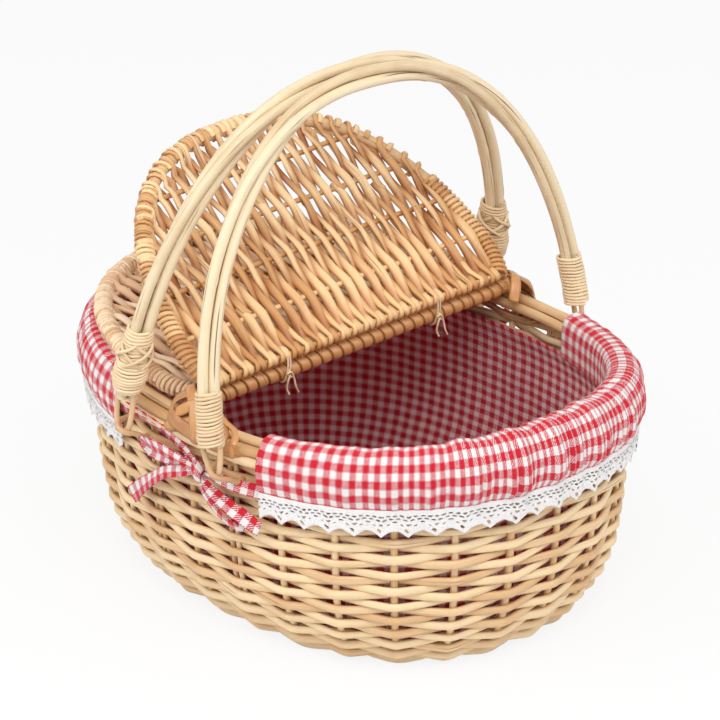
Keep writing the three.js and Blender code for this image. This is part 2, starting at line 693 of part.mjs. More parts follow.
add(basket, 'bow_back', bow(), gingham()).rotation.z = Math.PI;

export default basket;
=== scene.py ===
# Oval willow picnic basket with a gingham liner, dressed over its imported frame.
# Sizes in the dictionaries are millimetres, and meshes are metres.
import random
from bisect import bisect_right
from math import asin, atan2, copysign, cos, pi, radians, sin

import bmesh
import bpy
from mathutils import Matrix, Vector, noise


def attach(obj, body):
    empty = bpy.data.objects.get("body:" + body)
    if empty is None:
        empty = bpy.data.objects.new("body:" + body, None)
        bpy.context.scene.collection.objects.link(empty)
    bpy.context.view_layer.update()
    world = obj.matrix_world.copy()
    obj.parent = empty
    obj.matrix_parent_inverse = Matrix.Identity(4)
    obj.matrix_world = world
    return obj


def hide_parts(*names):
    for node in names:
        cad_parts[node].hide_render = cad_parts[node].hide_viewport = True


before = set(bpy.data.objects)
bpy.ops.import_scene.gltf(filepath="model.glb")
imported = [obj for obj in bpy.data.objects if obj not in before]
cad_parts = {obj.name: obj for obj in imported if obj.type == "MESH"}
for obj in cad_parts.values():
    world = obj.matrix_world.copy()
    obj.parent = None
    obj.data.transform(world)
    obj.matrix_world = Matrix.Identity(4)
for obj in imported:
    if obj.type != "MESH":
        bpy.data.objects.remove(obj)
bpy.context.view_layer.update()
random.seed(7)
mm = 0.001

# The basket's main sizes, as the frame has them
rim = dict(halfLength=190, halfWidth=149, power=2.35, height=148, endRise=11, footInset=34, footPower=5,
           rodRadius=3.6, borderOut=7.4, borderUp=144.4, shoulderOut=6.2, shoulderUp=151.8, crownUp=156.0,
           top=159.6, stakes=28, steps=168, corners=2048)
hinge = dict(crossbarUp=164.92, inset=5, lift=4.1, barOut=12.24, tilt=4.71, opening=137.29)


# Curves and places

def signedPower(value, power):
    return copysign(abs(value) ** power, value)


def smoothStep(value, low, high):
    t = min(1, max(0, (value - low) / (high - low)))
    return t * t * (3 - 2 * t)


def uneven(*place):
    return noise.noise(Vector(place))


def lengthsAlong(line):
    lengths = [0.0]
    for first, second in zip(line, line[1:]):
        lengths.append(lengths[-1] + (second - first).length)
    return lengths


def pathLength(path):
    return lengthsAlong([Vector(point[:3]) for point in path])[-1]


def pointAt(line, lengths, wanted):
    i = min(max(bisect_right(lengths, wanted), 1), len(line) - 1)
    share = (wanted - lengths[i - 1]) / max(lengths[i] - lengths[i - 1], 1e-9)
    return line[i - 1].lerp(line[i], share)


def evenly(line, count):
    lengths = lengthsAlong(line)
    return [pointAt(line, lengths, lengths[-1] * k / count) for k in range(count + 1)]


# The rim's oval, from the open end towards the back
def ovalCorner(angle):
    return Vector((rim["halfLength"] * signedPower(cos(angle), 2 / rim["power"]),
                   rim["halfWidth"] * signedPower(sin(angle), 2 / rim["power"])))


ovalCorners = [ovalCorner(2 * pi * i / rim["corners"]) for i in range(rim["corners"] + 1)]
ovalLengths = lengthsAlong(ovalCorners)
rimLength = ovalLengths[-1]


def ovalAt(turn):
    return pointAt(ovalCorners, ovalLengths, (turn % 1) * rimLength)


def rimRise(x, up):
    return rim["endRise"] * (x / rim["halfLength"]) ** 2 * min(1, max(0, up / rim["height"]))


# A point beside the rim's oval: turn is 0 to 1 round it
def onOval(turn, out, up):
    point = ovalAt(turn)
    along = (ovalAt(turn + 0.002) - ovalAt(turn - 0.002)).normalized()
    return Vector((point.x + along.y * out, point.y - along.x * out, up + rimRise(point.x, up)))


def turnAt(x, side=-1):
    low, high = 0.5, 1.0
    for _ in range(30):
        middle = (low + high) / 2
        if ovalAt(middle).x < x:
            low = middle
        else:
            high = middle
    return low if side < 0 else 1 - low


# A place on the front, or the same one half a turn round
def swung(point, front):
    return Vector((point.x * front, point.y * front, point.z))


def wallInset(up):
    return -rim["footInset"] * (1 - min(max(up, 0), rim["height"]) / rim["height"]) ** rim["footPower"]


# A smooth line through a few points, share 0 to 1 by its length
def smoothLine(points, steps=12):
    points = [Vector(point) for point in points]
    ends = [points[0] * 2 - points[1]] + points + [points[-1] * 2 - points[-2]]
    line = []
    for i in range(1, len(ends) - 2):
        a, b, c, d = ends[i - 1:i + 3]
        for k in range(steps):
            t = k / steps
            line.append(0.5 * (2 * b + (c - a) * t + (2 * a - 5 * b + 4 * c - d) * t * t
                               + (3 * b - a - 3 * c + d) * t ** 3))
    line.append(points[-1])
    return line


# The place at a share of an evenly spaced line, and the way that the line heads near its point i
def placeAt(line, share):
    last = len(line) - 1
    i = min(int(share * last), last - 1)
    return line[i].lerp(line[i + 1], share * last - i)


def heading(line, i, ahead=1):
    return (line[min(i + ahead, len(line) - 1)] - line[max(i - 1, 0)]).normalized()


# Rods, strands and strips

def ellipseProfile(name, halfAcross, halfUp, sides, square):
    profile = bpy.data.curves.new(name, "CURVE")
    profile.dimensions = "2D"
    spline = profile.splines.new("POLY")
    spline.points.add(sides - 1)
    for i, point in enumerate(spline.points):
        angle = 2 * pi * (i + 0.5) / sides
        point.co = (halfAcross * signedPower(cos(angle), square) * mm,
                    halfUp * signedPower(sin(angle), square) * mm, 0, 1)
    spline.use_cyclic_u = True
    return bpy.data.objects.new(name, profile)


def smoothPiece(mesh):
    mesh.shade_smooth()
    piece = bpy.data.objects.new(mesh.name, mesh)
    bpy.context.collection.objects.link(piece)
    return piece


# One mesh of many rods. Each path is a list of points in millimetres, with a fourth value for the
# rod's relative thickness there. Its UV map is millimetres along and round each rod, and the
# attribute "tone" is one random value for each rod.
def rods(name, paths, halfAcross, halfUp=None, sides=8, closed=False, twist="Z_UP", square=1):
    halfUp = halfUp or halfAcross
    curve = bpy.data.curves.new(name, "CURVE")
    curve.dimensions = "3D"
    curve.twist_mode = twist
    curve.use_fill_caps = not closed
    curve.bevel_mode = "OBJECT"
    curve.bevel_object = ellipseProfile(name + "_profile", halfAcross, halfUp, sides, square)
    for number, path in enumerate(paths):
        curve.materials.append(None)
        spline = curve.splines.new("POLY")
        spline.points.add(len(path) - 1)
        spline.material_index = number
        for point, place in zip(spline.points, path):
            point.co = (place[0] * mm, place[1] * mm, place[2] * mm, 1)
            point.radius = place[3] if len(place) > 3 else 1
        spline.use_cyclic_u = closed
        spline.use_smooth = True
    holder = bpy.data.objects.new(name + "_path", curve)
    bpy.context.collection.objects.link(holder)
    graph = bpy.context.evaluated_depsgraph_get()
    mesh = bpy.data.meshes.new_from_object(holder.evaluated_get(graph), depsgraph=graph)
    profile = curve.bevel_object
    bpy.data.objects.remove(holder)
    bpy.data.objects.remove(profile)
    lengths = [pathLength(path) for path in paths]
    around = pi * (halfAcross + halfUp)
    tones = [random.random() for _ in paths]
    starts = [random.uniform(0, 900) for _ in paths]
    uv = mesh.uv_layers[0].data
    toneOf = mesh.attributes.new("tone", "FLOAT", "FACE")
    for face in mesh.polygons:
        number = face.material_index
        toneOf.data[face.index].value = tones[number]
        for corner in face.loop_indices:
            u, v = uv[corner].uv
            uv[corner].uv = (u * lengths[number] + starts[number], v * around)
    mesh.materials.clear()
    if not closed:
        shape = bmesh.new()
        shape.from_mesh(mesh)
        bmesh.ops.remove_doubles(shape, verts=shape.verts, dist=1e-6)
        shape.to_mesh(mesh)
        shape.free()
    mesh.name = name
    return smoothPiece(mesh)


def meshOf(name, shape):
    mesh = bpy.data.meshes.new(name)
    shape.to_mesh(mesh)
    shape.free()
    return smoothPiece(mesh)


# A grid, and the share along and across of each of its corners
def shareGrid(stepsAlong, stepsAcross):
    shape = bmesh.new()
    bmesh.ops.create_grid(shape, x_segments=stepsAlong, y_segments=stepsAcross, size=0.5)
    return shape, {v.index: (v.co.x + 0.5, v.co.y + 0.5) for v in shape.verts}


def thickened(piece, thickness):
    solid = piece.modifiers.new("thickness", "SOLIDIFY")
    solid.thickness = thickness * mm
    solid.offset = 0
    return piece


# A sheet: a grid whose corners are placed by share along and across. Its UV map is the flat cloth in
# millimetres.
def clothSheet(name, stepsAlong, stepsAcross, flatAlong, flatAcross, place, thickness, flatShare=None):
    shape, flat = shareGrid(stepsAlong, stepsAcross)
    uvLayer = shape.loops.layers.uv.new("cloth")
    for face in shape.faces:
        for corner in face.loops:
            along, across = flat[corner.vert.index]
            clothAlong = flatShare(along) if flatShare else along
            corner[uvLayer].uv = (clothAlong * flatAlong, across * flatAcross)
    for v in shape.verts:
        v.co = place(*flat[v.index]) * mm
    bmesh.ops.recalc_face_normals(shape, faces=shape.faces)
    return thickened(meshOf(name, shape), thickness)


# Materials

def newMaterial(name):
    material = bpy.data.materials.new(name)
    material.use_nodes = True
    return material, material.node_tree, material.node_tree.nodes["Principled BSDF"]


# Inputs given as sockets are linked, and the others are set
def fill(tree, node, inputs):
    for key, value in inputs.items():
        if isinstance(value, bpy.types.NodeSocket):
            tree.links.new(value, node.inputs[key])
        else:
            node.inputs[key].default_value = value
    return node


def addNode(tree, kind, inputs, **settings):
    node = tree.nodes.new("ShaderNode" + kind)
    for name, value in settings.items():
        setattr(node, name, value)
    return fill(tree, node, inputs)


def calculated(tree, operation, *values):
    return addNode(tree, "Math", dict(enumerate(values)), operation=operation).outputs[0]


def vectors(tree, operation, *values):
    return addNode(tree, "VectorMath", dict(enumerate(values)), operation=operation).outputs


def ranged(tree, value, low, high, least=0, most=1):
    return addNode(tree, "MapRange", {"Value": value, "From Min": low, "From Max": high,
                                      "To Min": least, "To Max": most}).outputs[0]


def mixed(tree, factor, a, b, kind="RGBA", blend="MIX"):
    inputs = {"Factor": factor, "A": a, "B": b}
    return addNode(tree, "Mix", inputs, data_type=kind, blend_type=blend).outputs["Result"]


def noisy(tree, place, scale, **others):
    return addNode(tree, "TexNoise", {"Vector": place, "Scale": scale, **others}).outputs


def bumped(tree, height, strength, distance, **settings):
    inputs = {"Height": height, "Strength": strength, "Distance": distance}
    return addNode(tree, "Bump", inputs, **settings).outputs[0]


def colorRamp(tree, factor, stops):
    ramp = addNode(tree, "ValToRGB", {0: factor})
    elements = ramp.color_ramp.elements
    while len(elements) < len(stops):
        elements.new(0.5)
    for element, (place, color) in zip(elements, stops):
        element.position = place
        element.color = srgb(*color)
    return ramp.outputs[0]


def srgb(*color):
    def linear(c):
        c = c / 255
        return c / 12.92 if c <= 0.04045 else ((c + 0.055) / 1.055) ** 2.4
    return (*map(linear, color), 1)


# Grain of a peeled rod: long streaks, patches, thin dark lines and a tone for each rod
def makeGrainGroup():
    group = bpy.data.node_groups.new("willowGrain", "ShaderNodeTree")
    for way, kind, names in [("INPUT", "NodeSocketFloat", ["Lines", "Tone Spread"]),
                             ("INPUT", "NodeSocketColor", ["Pale", "Middle", "Dark"]),
                             ("OUTPUT", "NodeSocketColor", ["Color"]),
                             ("OUTPUT", "NodeSocketFloat", ["Roughness", "Height"])]:
        for name in names:
            group.interface.new_socket(name, in_out=way, socket_type=kind)
    given = group.nodes.new("NodeGroupInput").outputs
    uv = addNode(group, "UVMap", {}, uv_map="UVMap").outputs[0]
    tone = addNode(group, "Attribute", {}, attribute_name="tone").outputs["Fac"]
    along = vectors(group, "MULTIPLY", uv, (0.03, 0.9, 0))[0]
    streaks = noisy(group, along, 1, Detail=4, Roughness=0.6)[0]
    patches = noisy(group, uv, 0.03, Detail=2)[0]
    shade = calculated(group, "MULTIPLY", calculated(group, "SUBTRACT", tone, 0.5), given["Tone Spread"])
    shade = calculated(group, "MULTIPLY_ADD", streaks, 0.9, shade)
    shade = calculated(group, "MULTIPLY_ADD", patches, 1.1, shade)
    color = mixed(group, ranged(group, shade, 0.65, 1.4), given["Pale"], given["Middle"])
    fine = noisy(group, vectors(group, "MULTIPLY", uv, (0.012, 0.55, 1))[0], 1, Detail=3)[0]
    lines = calculated(group, "MULTIPLY", ranged(group, fine, 0.62, 0.72), given["Lines"])
    fill(group, group.nodes.new("NodeGroupOutput"), {
        "Color": mixed(group, lines, color, given["Dark"]),
        "Roughness": ranged(group, streaks, 0.3, 0.7, 0.42, 0.62),
        "Height": calculated(group, "SUBTRACT", streaks, lines)})
    return group


grainGroup = makeGrainGroup()


def willow(name, pale, middle, dark, lines=0.35, spread=0.8, coat=0.0, bounceLightBelow=None, creaseShade=0.0):
    material, tree, shader = newMaterial(name)
    tones = {"Pale": srgb(*pale), "Middle": srgb(*middle), "Dark": srgb(*dark)}
    grain = addNode(tree, "Group", {**tones, "Lines": lines, "Tone Spread": spread}, node_tree=grainGroup)
    color = grain.outputs["Color"]
    if bounceLightBelow:
        # painted warm bounce light: the lower part is tinted orange
        place = addNode(tree, "TexCoord", {}).outputs["Object"]
        height = addNode(tree, "SeparateXYZ", {0: place}).outputs["Z"]
        bounceLightMask = ranged(tree, height, bounceLightBelow, bounceLightBelow - 0.06, 0, 0.38)
        color = mixed(tree, bounceLightMask, color, (1.0, 0.8, 0.52, 1), blend="MULTIPLY")
    if creaseShade:
        # painted shade: strands are darker where they dip between their neighbours
        dip = addNode(tree, "Attribute", {}, attribute_name="dip").outputs["Fac"]
        color = mixed(tree, ranged(tree, dip, 0, 1, 0, creaseShade), color, (0.5, 0.27, 0.14, 1), blend="MULTIPLY")
    fill(tree, shader, {"Base Color": color, "Roughness": grain.outputs["Roughness"],
                        "Normal": bumped(tree, grain.outputs["Height"], 0.25, 0.0006),
                        "Specular IOR Level": 0.45, "Coat Weight": coat, "Coat Roughness": 0.25})
    return material


bodyWillow = willow("bodyWillow", (243, 215, 172), (220, 179, 132), (126, 76, 46), lines=0.55, spread=1.0)
lidWillow = willow("lidWillow", (248, 222, 188), (226, 184, 142), (140, 86, 52), lines=0.5, spread=1.4,
                   coat=0.15, creaseShade=0.7)
nearWillow = willow("nearWillow", (247, 212, 162), (212, 160, 104), (104, 54, 26), lines=0.7, spread=1.5,
                    coat=0.15, bounceLightBelow=0.245, creaseShade=0.95)
handleWillow = willow("handleWillow", (232, 213, 178), (206, 177, 136), (106, 72, 44), lines=1.0, spread=0.9)
rimWillow = willow("rimWillow", (226, 190, 144), (202, 156, 106), (110, 66, 36), lines=0.8, spread=0.8)
skein = willow("skein", (240, 216, 178), (214, 182, 142), (130, 96, 62), lines=0.3)
eyeWillow = willow("eyeWillow", (226, 190, 150), (200, 156, 114), (140, 98, 62))
cane = willow("cane", (208, 148, 88), (158, 100, 52), (72, 40, 20), lines=0.8, spread=1.3, coat=0.7)


# Gingham: red and off-white checks woven from both directions, with speckled half tones between them
def gingham(name, red, half, white):
    period = 9.9
    material, tree, shader = newMaterial(name)
    uv = addNode(tree, "UVMap", {}, uv_map="cloth").outputs[0]
    moved = vectors(tree, "MULTIPLY_ADD", noisy(tree, uv, 0.12)["Color"], (0.7, 0.7, 0), uv)[0]
    bands = []
    for part in addNode(tree, "SeparateXYZ", {0: moved}).outputs[:2]:
        wave = calculated(tree, "SINE", calculated(tree, "MULTIPLY", part, 2 * pi / period))
        bands.append(ranged(tree, wave, -0.1, 0.1))
    # a fine slanting rib and its slubs say which of the two directions lies on top
    ribs = calculated(tree, "SINE", vectors(tree, "DOT_PRODUCT", uv, (3.2, 3.2, 0))["Value"])
    threads = calculated(tree, "MULTIPLY_ADD", ribs, 0.16, noisy(tree, uv, 1.3, Detail=2)[0])
    amount = mixed(tree, ranged(tree, threads, 0.34, 0.66), *bands, kind="FLOAT")
    slubs = calculated(tree, "MULTIPLY_ADD", threads, 0.22, -0.1)
    redness = addNode(tree, "Math", {0: amount, 1: slubs}, operation="ADD", use_clamp=True).outputs[0]
    fill(tree, shader, {"Base Color": colorRamp(tree, redness, [(0, white), (0.45, half), (1, red)]),
                        "Normal": bumped(tree, threads, 0.4, 0.0004),
                        "Roughness": 0.92, "Specular IOR Level": 0.2, "Sheen Weight": 0.15})
    return material


ginghamCloth = gingham("ginghamCloth", (202, 32, 48), (198, 98, 114), (230, 227, 224))
# the liner's gingham: the same checks in darker colours, as painted shade
shadedGingham = gingham("shadedGingham", (176, 30, 46), (196, 96, 108), (224, 200, 200))


# Cotton lace: rows of eyelets, and a round hole in each scallop. Clear where the lace is open.
lace = dict(width=20, pitch=17, arch=5, thickness=0.8, fullness=1.04, stepsAlong=680, stepsAcross=16)
# each row's pitch, height, half width, shift along and flattening
laceHoles = [(lace["pitch"], 4.4, 1.5, 0.5, 0.9), (4.25, 15.0, 1.5, 0.2, 0.55), (4.25, 12.2, 1.5, 0.7, 0.55),
             (8.5, 9.2, 1.5, 0.35, 0.5), (8.5, 7.0, 0.9, 0.85, 0.7)]


def laceMaterial():
    material, tree, shader = newMaterial("cottonLace")
    uv = addNode(tree, "UVMap", {}, uv_map="cloth").outputs[0]
    pulled = vectors(tree, "MULTIPLY_ADD", noisy(tree, uv, 0.35)["Color"], (2.2, 1.6, 0), uv)[0]
    holes = 0
    for pitch, height, radius, shift, tall in laceHoles:
        place = vectors(tree, "MULTIPLY_ADD", pulled, (1 / pitch, 1, 0), (shift, -height - 0.8, 0))[0]
        parts = addNode(tree, "SeparateXYZ", {0: place}).outputs
        along = calculated(tree, "MULTIPLY_ADD", calculated(tree, "FRACT", parts[0]), pitch, -pitch / 2)
        up = calculated(tree, "DIVIDE", parts[1], tall)
        place = addNode(tree, "CombineXYZ", {0: along, 1: up}).outputs[0]
        distance = vectors(tree, "LENGTH", place)["Value"]
        hole = ranged(tree, distance, radius + 0.15, radius - 0.15)
        holes = calculated(tree, "MAXIMUM", holes, hole)
    threads = addNode(tree, "TexVoronoi", {"Vector": uv, "Scale": 1.1}).outputs["Distance"]
    color = colorRamp(tree, threads, [(0, (250, 249, 248)), (0.9, (230, 227, 226))])
    fill(tree, shader, {"Base Color": color, "Alpha": calculated(tree, "SUBTRACT", 1, holes),
                        "Normal": bumped(tree, threads, 0.6, 0.0006, invert=True), "Roughness": 0.9})
    return material


cottonLace = laceMaterial()


# A piece's material, the body that it rides on and the nodes that it stands for
def finishPiece(piece, body, slotName, material, *replaced):
    piece.data.materials.clear()
    piece.data.materials.append(material)
    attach(piece, body)
    if replaced:
        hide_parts(*replaced)
    return piece


# Body: stakes, and weavers that run straight from stake to stake and bend sharply round each one
weave = dict(pitch=5.7, halfDeep=1.75, halfTall=2.8, swing=3.7, middle=1.3, lowest=4.6, highest=140.5,
             stakeAcross=2.6, stakeDeep=2.0, wander=1.1, steps=[0, 0.07, 0.18, 0.5, 0.82, 0.93],
             turnBack=0.93, thinEnd=0.7, floor=3.5, pairShift=2.7, pairThin=0.8, aboveUp=140, aboveOut=4.5)


def wallRows():
    levels = [weave["lowest"] + (weave["highest"] - weave["lowest"]) * i / 400 for i in range(401)]
    line = [Vector((wallInset(up) + weave["middle"], up)) for up in levels]
    return evenly(line, round(pathLength(line) / weave["pitch"]))


def weaverPath(row, place, slope, first, passed):
    seed = row * 3.7
    path = []
    for stake in range(first, first + passed):
        for step in weave["steps"]:
            count = stake - first + step
            turn = (stake + step) / rim["stakes"]
            side = (1 - 2 * step) * (1 if (stake + row) % 2 else -1)
            side = copysign(min(abs(side), weave["turnBack"]), side)
            swing = weave["swing"] * side
            lift = weave["wander"] * uneven(turn * 11, seed, 0)
            thick = 1.08 - 0.2 * count / passed + 0.14 * uneven(turn * 16, seed, 5) + 0.05 * max(side, 0)
            if count < 0.3 or count > passed - 0.5:
                thick *= weave["thinEnd"]
            up = max(place.y + lift - swing * sin(slope), weave["floor"])
            point = onOval(turn, place.x + swing * cos(slope), up)
            path.append((*point, thick))
    return path


def makeBodyWeave():
    rows = wallRows()
    half = rim["stakes"] // 2
    paths = []
    for row, place in enumerate(rows):
        ahead = heading(rows, row)
        slope = atan2(ahead.x, ahead.y)
        start = (row * 11) % rim["stakes"]
        paths += [weaverPath(row, place, slope, start + first, half + 1) for first in (0, half)]
    piece = rods("body_weave", paths, weave["halfDeep"], weave["halfTall"], sides=8, square=0.74)
    bands = [f"side_weave_{i}" for i in range(2, 7)]
    finishPiece(piece, "root", "body_willow", bodyWillow, "side_weave", *bands, "side_weave_top")


# The two stakes beside the crossbar's ends on each side are pairs
def makeStakes():
    levels = [2.6, 5, 10, 16, 24, 36, 55, 85, 115, 134, 142]
    paths = []
    for stake in range(rim["stakes"]):
        pair = (stake - 7) % 14 in (1, 13)
        for shift in (-weave["pairShift"], weave["pairShift"]) if pair else (0,):
            turn = stake / rim["stakes"] + shift / rimLength
            thick = random.uniform(0.92, 1.08) * (weave["pairThin"] if pair else 1)
            outs = [wallInset(up) + weave["middle"] + (weave["aboveOut"] if up > weave["aboveUp"] else 0)
                    for up in levels]
            paths.append([(*onOval(turn, out, up), thick) for out, up in zip(outs, levels)])
    piece = rods("stakes", paths, weave["stakeAcross"], weave["stakeDeep"], sides=10, twist="MINIMUM")
    finishPiece(piece, "root", "body_willow", bodyWillow)
    ring = [(*onOval(i / rim["steps"], rim["borderOut"] - 0.2, rim["borderUp"]), 1 + 0.04 * sin(i))
            for i in range(rim["steps"])]
    border = rods("border", [ring], rim["rodRadius"], sides=10, closed=True)
    finishPiece(border, "root", "body_willow", bodyWillow, "stakes_and_border")


makeBodyWeave()
makeStakes()
print("body weave and stakes done")


# Base: rings of weavers over and under sticks that run out from the middle, inside the foot of the wall
base = dict(rings=20, sticks=22, up=6.4, inset=8, swing=1.9, halfUp=1.5, halfAcross=2.4, stickRadius=1.8)


def makeBase():
    foot = rim["footInset"] + base["inset"]
    paths = []
    for ring in range(base["rings"]):
        scale = (ring + 1.2) / (base["rings"] + 0.4)
        count = base["sticks"] * 4
        path = []
        for i in range(count):
            point = onOval(i / count, -foot, base["up"]) * scale
            side = cos(pi * (base["sticks"] * i / count + ring))
            path.append((point.x, point.y, base["up"] + base["swing"] * side))
        paths.append(path)
    piece = rods("base_rings", paths, base["halfAcross"], base["halfUp"], sides=6, closed=True)
    finishPiece(piece, "root", "body_willow", bodyWillow, "base_mat")
    sticks = []
    for i in range(base["sticks"]):
        end = onOval((i + 0.5) / base["sticks"], -foot + 2, 0)
        sticks.append([(end.x * 0.05, end.y * 0.05, base["up"]), (end.x, end.y, base["up"])])
    piece = rods("base_sticks", sticks, base["stickRadius"], sides=6)
    finishPiece(piece, "root", "body_willow", bodyWillow)


makeBase()


# Rim: bare rods laid on the border
def makeRimRods():
    shoulder, low = rim["shoulderOut"], rim["shoulderUp"]
    paths = []
    for number, (out, up) in enumerate([(shoulder, low), (0, rim["crownUp"]), (-shoulder, low)]):
        paths.append([(*onOval(i / rim["steps"], out, up + 0.3 * uneven(i * 0.2, number, 0)),
                       1 + 0.06 * uneven(i * 0.35, number, 3)) for i in range(rim["steps"])])
    piece = rods("rim_rods", paths, rim["rodRadius"], sides=12, closed=True)
    finishPiece(piece, "root", "handle_willow", rimWillow, "rim_rod_outer", "rim_rod_top", "rim_rod_inner")


makeRimRods()

# Crossbar: a rod under a spiral wrap of split cane
crossbar = dict(radius=5, halfLength=155, bareEnd=16, stripPitch=9.6, stripHalf=4.5, stripThick=0.65,
                stepsPerTurn=20)


def makeCrossbar():
    up, radius, pitch = hinge["crossbarUp"], crossbar["radius"], crossbar["stripPitch"]
    half, thick = crossbar["stripHalf"], crossbar["stripThick"]
    ends = [(0, side * crossbar["halfLength"], up) for side in (-1, 1)]
    finishPiece(rods("crossbar_rod", [ends], radius - 0.3, sides=16), "root", "cane", cane, "crossbar")
    # the strip's section, spun along the rod
    start = crossbar["bareEnd"] - crossbar["halfLength"]
    turns = round(-2 * start / pitch)
    shape = bmesh.new()
    section = [(-half, 0), (-half * 0.7, thick), (0, thick * 1.3), (half * 0.7, thick), (half, 0)]
    corners = [shape.verts.new(Vector((radius + out, start + along, up)) * mm) for along, out in section]
    edges = [shape.edges.new((a, b)) for a, b in zip(corners, corners[1:] + corners[:1])]
    bmesh.ops.spin(shape, geom=corners + edges, cent=(0, 0, up * mm), axis=(0, 1, 0),
                   dvec=(0, pitch / crossbar["stepsPerTurn"] * mm, 0), angle=2 * pi * turns,
                   steps=turns * crossbar["stepsPerTurn"], use_merge=False)
    bmesh.ops.recalc_face_normals(shape, faces=shape.faces)
    uvLayer = shape.loops.layers.uv.new("UVMap")
    for face in shape.faces:
        for corner in face.loops:
            co = corner.vert.co / mm
            angle = atan2(co.z - up, co.x)
            corner[uvLayer].uv = (co.y * 3 + 30 * angle / pi, co.y + angle * pitch / (2 * pi))
    finishPiece(meshOf("crossbar_cane", shape), "root", "cane", cane, "crossbar_wrap")


makeCrossbar()
print("base, rim rods and crossbar done")

# Lids: a bow and a straight bar, ribs along the bar, weavers that turn round both, and a close wrap at
# the corners. wrapShares are the parts of the bow that the near lid's wraps cover, and the values in
# short are how much less than half the lid's width a piece reaches.
lid = dict(power=2.35, bowRadius=4.3, barRadius=2.0, wrapRadius=1.45, wrapPitch=3.8, wrapShares=(0.32, 0.15),
           wrapSteps=50, ribs=4, ribRadius=1.9, weaverAcross=3.05, weaverUp=1.75, weaverPitch=5.5, swing=3.0,
           turnBack=0.88, cornerIn=0.052, cornerDepth=26, steps=240, roundBar=1.35, roundBow=1.15,
           flatFrom=9, flatLess=20, flatStep=4.2, dipDepth=3.4, short=dict(bar=9, rib=5, weave=11))


def lidFrame(turned, opening):
    place = Matrix.Rotation(pi if turned else 0, 4, "Z")
    place = place @ Matrix.Translation((hinge["inset"], 0, hinge["crossbarUp"] + hinge["lift"]))
    place = place @ Matrix.Rotation(-radians(opening), 4, "Y")
    place = place @ Matrix.Translation((hinge["barOut"] - hinge["inset"], 0, -hinge["lift"]))
    return place @ Matrix.Rotation(-radians(hinge["tilt"]), 4, "Y")


def lidOutline(share):
    angle = pi * (share - 0.5)
    depth = lid["depth"] * signedPower(max(cos(angle), 0), 2 / lid["power"])
    side = lid["halfWidth"] * signedPower(sin(angle), 2 / lid["power"])
    cornerIn = lid["cornerIn"] * max(0, 1 - depth / lid["cornerDepth"]) ** 2
    return Vector((depth, side * (1 - cornerIn), 0))


def depthAt(side):
    share = min(abs(side) / lid["halfWidth"], 1)
    return lid["depth"] * (1 - share ** lid["power"]) ** (1 / lid["power"])


# Which way the bow faces outwards at a place on it
def bowFacing(depth, side):
    shares = depth / lid["depth"], side / lid["halfWidth"]
    x, y = [signedPower(share, lid["power"] - 1) for share in shares]
    return Vector((x / lid["depth"], y / lid["halfWidth"], 0)).normalized()


# A strand wound round a line that lies flat
def wound(line, radius, pitch, stepsPerTurn=10):
    places = evenly(line, int(pathLength(line) / pitch) * stepsPerTurn)
    path = []
    for i, place in enumerate(places):
        ahead = heading(places, i)
        turn = i / stepsPerTurn
        angle = 2 * pi * turn
        loose = radius + 0.3 * uneven(turn * 1.7, pitch, radius)
        outward = Vector((ahead.y, -ahead.x, 0)) * cos(angle) + Vector((0, 0, sin(angle)))
        path.append((*(place + outward * loose), 1 + 0.2 * uneven(turn * 0.9, 4, radius)))
    return path


def placed(paths, place):
    return [[(*(place @ Vector(point[:3])), *point[3:]) for point in path] for path in paths]


# From 1 to -1 and back along straight lines, with the corners a little rounded
def zigzag(value):
    value = abs((value % 2) - 1) * 2 - 1
    return copysign(min(abs(value), lid["turnBack"]), value) / lid["turnBack"]


# One weaver: round the bar, over and under the ribs, and round the bow
def lidWeaver(number, side, turned):
    upward = 1 if number % 2 else -1
    ribPitch = lid["depth"] / (lid["ribs"] + 1)
    reach = depthAt(side)
    seed = number * 1.9 + (50 if turned else 0)
    around = lid["barRadius"] + lid["roundBar"]
    path = [(around * 1.6, side - 1.6, -around * upward * 0.9, 0.6)]
    for angle in (-80, -115, -150, -180, -210, -245, -275):
        a = radians(angle)
        along = (angle + 180) / 95
        path.append((around * cos(a), side - along * 1.1, around * sin(a) * upward, 0.9))
    flat = reach - lid["flatLess"]
    steps = max(6, int(flat / lid["flatStep"]))
    for k in range(steps + 1):
        depth = lid["flatFrom"] + flat * k / steps
        height = lid["swing"] * zigzag(depth / ribPitch) * upward * (1 if 20 < depth < reach - 14 else 0.75)
        sway = 2.1 * uneven(depth * 0.045, seed, 8) + 1.8 * uneven(depth * 0.012, seed, 3)
        sway += 0.7 * sin(pi * depth / ribPitch) * upward
        thick = 1.24 - 0.36 * depth / lid["depth"] + 0.34 * uneven(depth * 0.05, seed, 2) + 0.14 * turned
        path.append((depth, side + sway, height, thick))
    over = 1 if path[-1][2] >= 0 else -1
    facing = bowFacing(reach, side)
    along = Vector((-facing.y, facing.x, 0)) * (1 if side < 0 else -1)
    middle = Vector((reach, side, 0))
    around = lid["bowRadius"] + lid["roundBow"]
    for angle in (125, 95, 60, 30, 0, -30, -60, -95, -130):
        a = radians(angle)
        point = middle + facing * around * cos(a) + along * (1.8 - 2.6 * (angle + 130) / 255)
        path.append((point.x, point.y, around * sin(a) * over, 0.78))
    return path


# Some weavers end at a rib, and a new one starts beside them
def spliced(path, number):
    if number % 3 or len(path) < 34:
        return [path]
    cut = 14 + (number * 7) % (len(path) - 28)
    first = [(x, y - 0.5, z, t) for x, y, z, t in path[:cut + 3]]
    second = [(x, y + 0.6, z, t * 0.92) for x, y, z, t in path[cut:]]
    lift = 1.6 if number % 2 else -1.6
    for strand, i, aside, up, thick in ((first, -1, -1.6, lift, 0.8), (first, -2, -0.8, lift * 0.7, 0.95),
                                        (second, 0, 1.3, -lift, 0.7)):
        x, y, z, _ = strand[i]
        strand[i] = (x, y + aside, z + up, thick)
    return [first, second]


